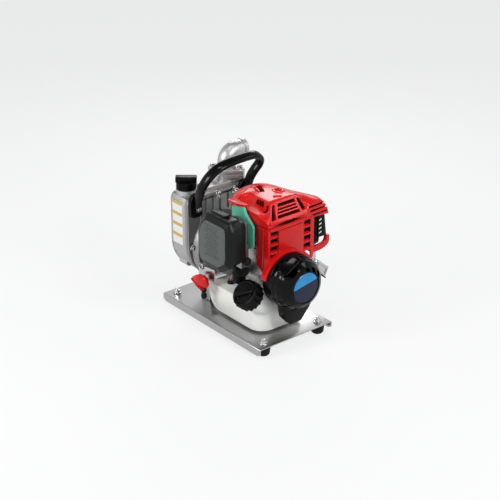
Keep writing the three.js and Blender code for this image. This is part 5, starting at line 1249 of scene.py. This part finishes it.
def elbow_rings(radii, low, end, around=48):
    """Rings up a riser, round the bend and out along +X. Radii are for foot, bend and mouth."""
    x0, y0 = ELBOW_AT
    foot, bend, mouth = radii
    spine = [((x0, low), 0.0, foot)]
    for k in range(13):
        turn = math.pi / 2 * k / 12
        x, z = x0 + BEND * (1 - math.cos(turn)), ELBOW_AXIS - BEND + BEND * math.sin(turn)
        spine.append(((x, z), turn, bend))
    spine += [((end - 8, ELBOW_AXIS), math.pi / 2, mouth), ((end, ELBOW_AXIS), math.pi / 2, mouth)]
    rings = []
    for (x, z), turn, radius in spine:
        across = Vector((math.cos(turn), 0, -math.sin(turn)))
        rings.append([Vector((x, y0, z)) + radius * (across * math.cos(a) + Vector((0, 1, 0)) * math.sin(a))
                      for a in (math.tau * j / around for j in range(around))])
    return rings


def flange_outline(grow, steps=10):
    """Round ears on both bolts and a hub between them, as the hull of three circles."""
    span, lean, ear, hub = 52.2, math.radians(-57.5), 8.5 + grow, 19.0 + grow
    tip = math.acos((hub - ear) / (span / 2))
    arcs = [(1, ear, -tip, tip), (0, hub, tip, math.pi - tip), (-1, ear, math.pi - tip, math.pi + tip),
            (0, hub, math.pi + tip, math.tau - tip)]
    points = []
    for side, radius, start, stop in arcs:
        centre = Vector(ELBOW_AT) + Vector((math.cos(lean), math.sin(lean))) * side * span / 2
        for k in range(steps + 1):
            turn = lean + start + (stop - start) * k / steps
            points.append(tuple(centre + radius * Vector((math.cos(turn), math.sin(turn)))))
    return points


# %% Bend, mouth and flange
elbow = lofted("elbow_bend", elbow_rings((17.5, 16.0, 15.2), 250, ELBOW_END - 1))
carved(elbow, lofted("elbow_bore", elbow_rings((12, 12, 12), 240, ELBOW_END + 4)))
mouth_profile = [(12.2, -7), (16.5, -7), (16.5, -0.8), (15.8, 0), (12.2, 0)]
mouth = spun("elbow_mouth", mouth_profile, (ELBOW_END, ELBOW_AT[1], ELBOW_AXIS), (1, 0, 0), 56)
flange = plate("elbow_flange", "Z", flange_outline(0), 243.3, 251.3)
carved(flange, plate("flange_bore", "Z", toothed(40, ((0, 12),), ELBOW_AT), 240, 255))
bevelled(flange, 1.1, 3)
elbow = merged(elbow, mouth, flange)
filed(elbow, "cast_alloy", "discharge_elbow", smooth=40)
print("elbow:", len(elbow.data.polygons), "faces")

# %% [markdown]
# ## Priming cap
# The black cap on the filler has a broad flat grip on top of a ribbed skirt, so that a gloved hand
# can turn it. The grip is a block with generous bevels; the ribs are the teeth of the outline.

# %% The cap and its grip
CAP_AXIS, CAP_TURN = (-50.0, 105.0), -39.4
skirt_rim = toothed(36, ((0.0, 18.0), (0.45, 18.0), (0.55, 17.3), (0.95, 17.3)), CAP_AXIS)
skirt = plate("priming_skirt", "Z", skirt_rim, 232.9, 243.5)
carved(skirt, spun("skirt_hollow", [(0, 0), (15, 0), (15, 9.2), (0, 9.2)], (*CAP_AXIS, 232.6), steps=48))
crown_profile = [(0, 0), (17.6, 0), (17.6, 1.2), (16.6, 2.2), (0, 2.4)]
crown = spun("priming_crown", crown_profile, (*CAP_AXIS, 243.2))
grip_block = bevelled(block("priming_grip", (-19, -7.5, 0), (19, 7.5, 11)), 2.2, 4)
laid(grip_block, at=(*CAP_AXIS, 244), turn=CAP_TURN)
priming = merged(skirt, crown, grip_block)
filed(priming, "black_plastic", "priming_cap")
print("priming cap:", len(priming.data.polygons), "faces")

# %% [markdown]
# ## Carrying handle
# The handle is one bent and flattened steel tube, painted glossy black. An oval is carried along
# its middle line, always leaning the same way, so the tube is lofted from ovals. The two feet are
# pressed flat and bolted to the pump cover.

# %% The bent tube
HANDLE_LINE = [
    (-57, 70, 204), (-58.5, 59, 228), (-58, 49.5, 250.5), (-50.5, 44, 267), (-42.5, 40.6, 276.7),
    (-33.4, 38, 283.5), (-23, 36.4, 288), (-7, 35.3, 291.4), (10, 34.8, 292.8), (27, 34.5, 293.5),
    (43, 34.6, 293), (56, 36.1, 289), (65, 39.4, 280.5), (66, 43.8, 269), (59.5, 47.6, 258), (54, 52.8, 244),
    (53.4, 59.5, 227), (54, 70, 204),
]
HANDLE_WIDE, HANDLE_DEEP, HANDLE_LEAN = 11.2, 18.4, math.radians(20)


def smooth_line(points, parts=6):
    """Points on a Catmull-Rom curve through the given ones."""
    knots = [Vector(point) for point in points]
    knots = [2 * knots[0] - knots[1], *knots, 2 * knots[-1] - knots[-2]]
    line = []
    for a, b, c, d in zip(knots, knots[1:], knots[2:], knots[3:]):
        for k in range(parts):
            t = k / parts
            line.append(0.5 * (2 * b + (c - a) * t + (2 * a - 5 * b + 4 * c - d) * t ** 2 +
                               (3 * b - a - 3 * c + d) * t ** 3))
    return [*line, knots[-2]]


def squarish(turn, power=0.8):
    """A point of an oval with slightly flattened sides."""
    return [math.copysign(abs(value) ** power, value) for value in (math.cos(turn), math.sin(turn))]


line = smooth_line(HANDLE_LINE)
lean = Vector((0, math.cos(HANDLE_LEAN), math.sin(HANDLE_LEAN)))
rings = []
for k, middle in enumerate(line):
    along = (line[min(k + 1, len(line) - 1)] - line[max(k - 1, 0)]).normalized()
    outward = lean.cross(along).normalized()
    ovals = (squarish(math.tau * j / 28) for j in range(28))
    rings.append([middle + outward * u * HANDLE_WIDE / 2 + lean * v * HANDLE_DEEP / 2 for u, v in ovals])
arch = lofted("handle_arch", rings)
carved(arch, block("handle_trim", (-90, 74.7, 150), (90, 110, 260)))
print("arch:", len(arch.data.polygons), "faces")

# %% The pressed feet
FEET_AT, FOOT_BOLT = (-56, 54), (66.4, 207)
feet = []
for x in FEET_AT:
    foot_shape = [(x - 14, 190.5, 9), (x + 12, 189.5, 9), (x + 12, 222, 5), (x + 8, 234, 5), (x - 8, 234, 5),
                  (x - 14, 222, 5)]
    foot = bevelled(plate("handle_foot", "Y", foot_shape, 65.6, 74.7), 1.2, 3)
    carved(foot, spun("foot_recess", [(0, 0), (6.2, 0), (6.2, 30), (0, 30)], (x, *FOOT_BOLT), (0, -1, 0), 32))
    feet.append(foot)
carved(arch, *(spun("foot_recess", [(0, 0), (6.4, 0), (6.4, 60), (0, 60)], (x, *FOOT_BOLT), (0, -1, 0), 32)
               for x in FEET_AT))
handle = merged(arch, *feet)
filed(handle, "handle_black", "handle", smooth=45)
print("handle:", len(handle.data.polygons), "faces")

# %% [markdown]
# ## Exhaust side
# A curved red bar guards the hot muffler, and a bent sheet below it turns the exhaust away. Both
# keep the construction's shape: the edges of the bar are rounded strongly and those of the sheet
# only a little. The sheet gets a pressed border and a thin black bar along its lower edge.

# %% Guard bar
guard = refined("muffler_guard", 2.6, 5, 30)
filed(guard, "red_cover", "muffler_guard", smooth=45)
print("guard:", len(guard.data.polygons), "faces")

# %% Deflector with its border and strip
border_shape = [(84.6, 121.5, 2), (81.4, 107, 2), (100, 89.5, 2), (106.4, 103.6, 2)]
inner_shape = [(85.3, 119, 1.5), (83, 107.8, 1.5), (99.6, 92, 1.5), (104.2, 103.2, 1.5)]
border = plate("deflector_border", "Y", border_shape, -99.6, -97.8)
carved(border, plate("border_inside", "Y", inner_shape, -102, -95))
deflector = refined("heat_deflector", 0.5, 2)
deflector = merged(deflector, bevelled(border, 0.4, 2))
filed(deflector, "machined_steel", "heat_deflector")
# A thin black bar along the lower edge of the sheet.
strip = rod("deflector_strip", [(80, -100.2, 103), (90, -100.4, 95), (100.6, -100.2, 86.4)], 1.1)
filed(strip, "rubber", smooth=50)
print("deflector:", len(deflector.data.polygons), "faces")

# %% [markdown]
# ## Control lever
# The lever is a moulded red knob with a ridge across it, on a black stem in a steel bracket. The
# knob is lofted through five copies of one outline. The middle ones are the largest, so that
# light breaks along its facets.

# %% Knob
KNOB_OUTLINE = [
    (61, 84.6), (50, 92), (38.5, 97.9), (21, 100), (12.7, 97), (9.5, 82), (13.5, 75.5), (31, 65.4),
    (42.5, 66.5), (57, 78),
]
KNOB_MIDDLE = (34.0, 83.0)


def knob_ring(x, share, shift=(0.0, 0.0)):
    (my, mz), (dy, dz) = KNOB_MIDDLE, shift
    return [(x, my + dy + (y - my) * share, mz + dz + (z - mz) * share) for y, z in KNOB_OUTLINE]


knob_rings = [knob_ring(x, share) for x, share in ((-69, 0.62), (-72, 0.84), (-77, 0.86), (-80, 0.74))]
knob = lofted("lever_knob", [*knob_rings, knob_ring(-83, 0.42, (2, 2))])
bevelled(knob, 0.8, 3, 20)
ridge_shape = [(50, 82, 2), (53, 85, 2), (20, 74, 2), (20, 71, 2)]
ridge_bar = bevelled(plate("knob_ridge", "X", ridge_shape, -84, -77), 1.2, 3)
lever = merged(knob, ridge_bar)
filed(lever, "red_cover", "control_lever", smooth=25)
print("lever:", len(lever.data.polygons), "faces")

# %% Stem and bracket
stem = spun("lever_stem",
            [(0, 82), (4.8, 82), (4.8, 68), (3.6, 67), (3.6, 62), (5.2, 61), (5.2, 57), (4, 54.4), (0, 54)],
            (-76, 24, 0), steps=28)
pin_end = spun("knob_boss", [(0, 0), (5, 0), (5, 7), (4, 8), (0, 8)], (-70, 34, 84), (1, 0, 0), 32)
stem = merged(stem, pin_end)
filed(stem, "rubber", body=body_of("control_lever"))
bracket = refined("control_bracket", 0.5, 2)
ring_line = [(-61, 52 + 6 * math.cos(a), 101 + 5 * math.sin(a))
             for a in (math.tau * k / 12 for k in range(13))]
bracket = merged(bracket, rod("bracket_ring", ring_line, 1.0))
filed(bracket, "machined_steel", "control_bracket")
print("bracket:", len(bracket.data.polygons), "faces")

# %% [markdown]
# ## Fuel line and the pieces below the air cleaner
# A soft brown hose rises from a grommet in the tank to the carburettor, behind a black bowl with
# a finned lid. A curve with a round section is the shortest way to a hose.

# %% Hose and grommet
HOSE_LINE = [(-28, 7, 65), (-28, 6, 86), (-31, -7, 99), (-37, -21, 115), (-46, -38, 129), (-54, -49, 139.7)]
hose = rod("fuel_line", HOSE_LINE, 2.4, 6, 10)
filed(hose, "hose_grey", "fuel_hose", smooth=60)
grommet = spun("tank_grommet",
               [(0, -3), (4.7, -3), (4.7, 0.2), (6.8, 0.6), (6.8, 2.6), (5.4, 5), (3.4, 5.6), (0, 5.6)],
               (-28, 7, 75), steps=36)
filed(grommet, "rubber", smooth=40)
print("hose:", len(hose.data.polygons), "faces")

# %% Bowl and lid
bowl_profile = [(0, 0), (9, 0), (11, 2), (11.6, 5), (11.6, 17), (12.4, 17.6), (12.4, 20), (11.6, 20.6),
                (11.6, 33), (0, 35)]
bowl = spun("fuel_bowl", bowl_profile, (-52, -45, 105), steps=48)
LID_AT, LID_AXIS, LID_FINS = (-52, -54, 131.5), (-0.57, -0.72, 0.4), 12
lid_profile = [(0, 0), (12, 0), (12.5, 1), (12.5, 4.6), (11.8, 5.8), (11, 6), (4, 6.2), (3.4, 8), (0, 8.2)]
lid = spun("bowl_lid", lid_profile, LID_AT, LID_AXIS, 48)
fins = []
for k in range(LID_FINS):
    fin = bevelled(block("bowl_fin", (-0.6, 3.4, 5), (0.6, 11.2, 7.8)), 0.3, 2)
    fins.append(laid(fin, LID_AXIS, LID_AT, 360 * k / LID_FINS))
bowl = merged(bowl, lid, *fins)
filed(bowl, "black_plastic", smooth=30)
print("bowl:", len(bowl.data.polygons), "faces")

# %% [markdown]
# ## Base sheet
# The base is one sheet of aluminium with both long sides folded down. A channel section that is
# extruded along Y has the right sheet thickness everywhere. Its corners are cut at an angle at
# both ends, and the edges are broken only slightly, because a guillotine leaves them sharp.

# %% Folded sheet
SHEET_HALF, SHEET_END, SHEET_TOP, SHEET_LOW = 82.5, 139.0, 21.0, 6.5
channel = [
    (-SHEET_HALF, SHEET_LOW), (-SHEET_HALF + 2, SHEET_LOW), (-SHEET_HALF + 2, SHEET_TOP - 2, 1),
    (SHEET_HALF - 2, SHEET_TOP - 2, 1), (SHEET_HALF - 2, SHEET_LOW), (SHEET_HALF, SHEET_LOW),
    (SHEET_HALF, SHEET_TOP, 2.5), (-SHEET_HALF, SHEET_TOP, 2.5),
]
base_sheet = plate("base_sheet", "Y", channel, -SHEET_END, SHEET_END, 6)
for end in (-1, 1):
    wedge = [(end * (SHEET_END - 9), SHEET_LOW - 1), (end * (SHEET_END + 2), SHEET_LOW - 1),
             (end * (SHEET_END + 2), 12)]
    carved(base_sheet, plate("sheet_notch", "X", wedge, -90, 90))
bevelled(base_sheet, 0.35, 2)
filed(base_sheet, "base_sheet", "base_plate", smooth=30)
print("base sheet:", len(base_sheet.data.polygons), "faces")

# %% [markdown]
# The fan housing sits in the shade between the red cover and the starter. It keeps its shape,
# and a black finish paints the shade that lies on it there.

# %% Fan housing, painted black for the shade on it
fan_housing = filed(refined("fan_housing"), "black_plastic", "fan_housing")
print("fan housing:", len(fan_housing.data.polygons), "faces")

# %% [markdown]
# ## Pieces that keep the construction's shape
# Fasteners, inner parts and plain castings are already the right shape. Each gets broken edges
# and a finish. The record says which material slot every piece takes.

# %% Refine the plain pieces
for node in sorted(set(frame["nodes"]) - remade_nodes):
    filed(refined(node), record_slot(node), node)
print("refined pieces:", len(shown_pieces))

# %% [markdown]
# ## Size
# The box of the visible model is printed beside the construction's box. The visible
# model has to stay inside the construction's box.

# %% Print the two boxes and finish
visual_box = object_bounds()
for low_or_high, (built, seen) in enumerate(zip(construction_box, visual_box)):
    print("low" if low_or_high == 0 else "high", [round(v, 4) for v in built], [round(v, 4) for v in seen])
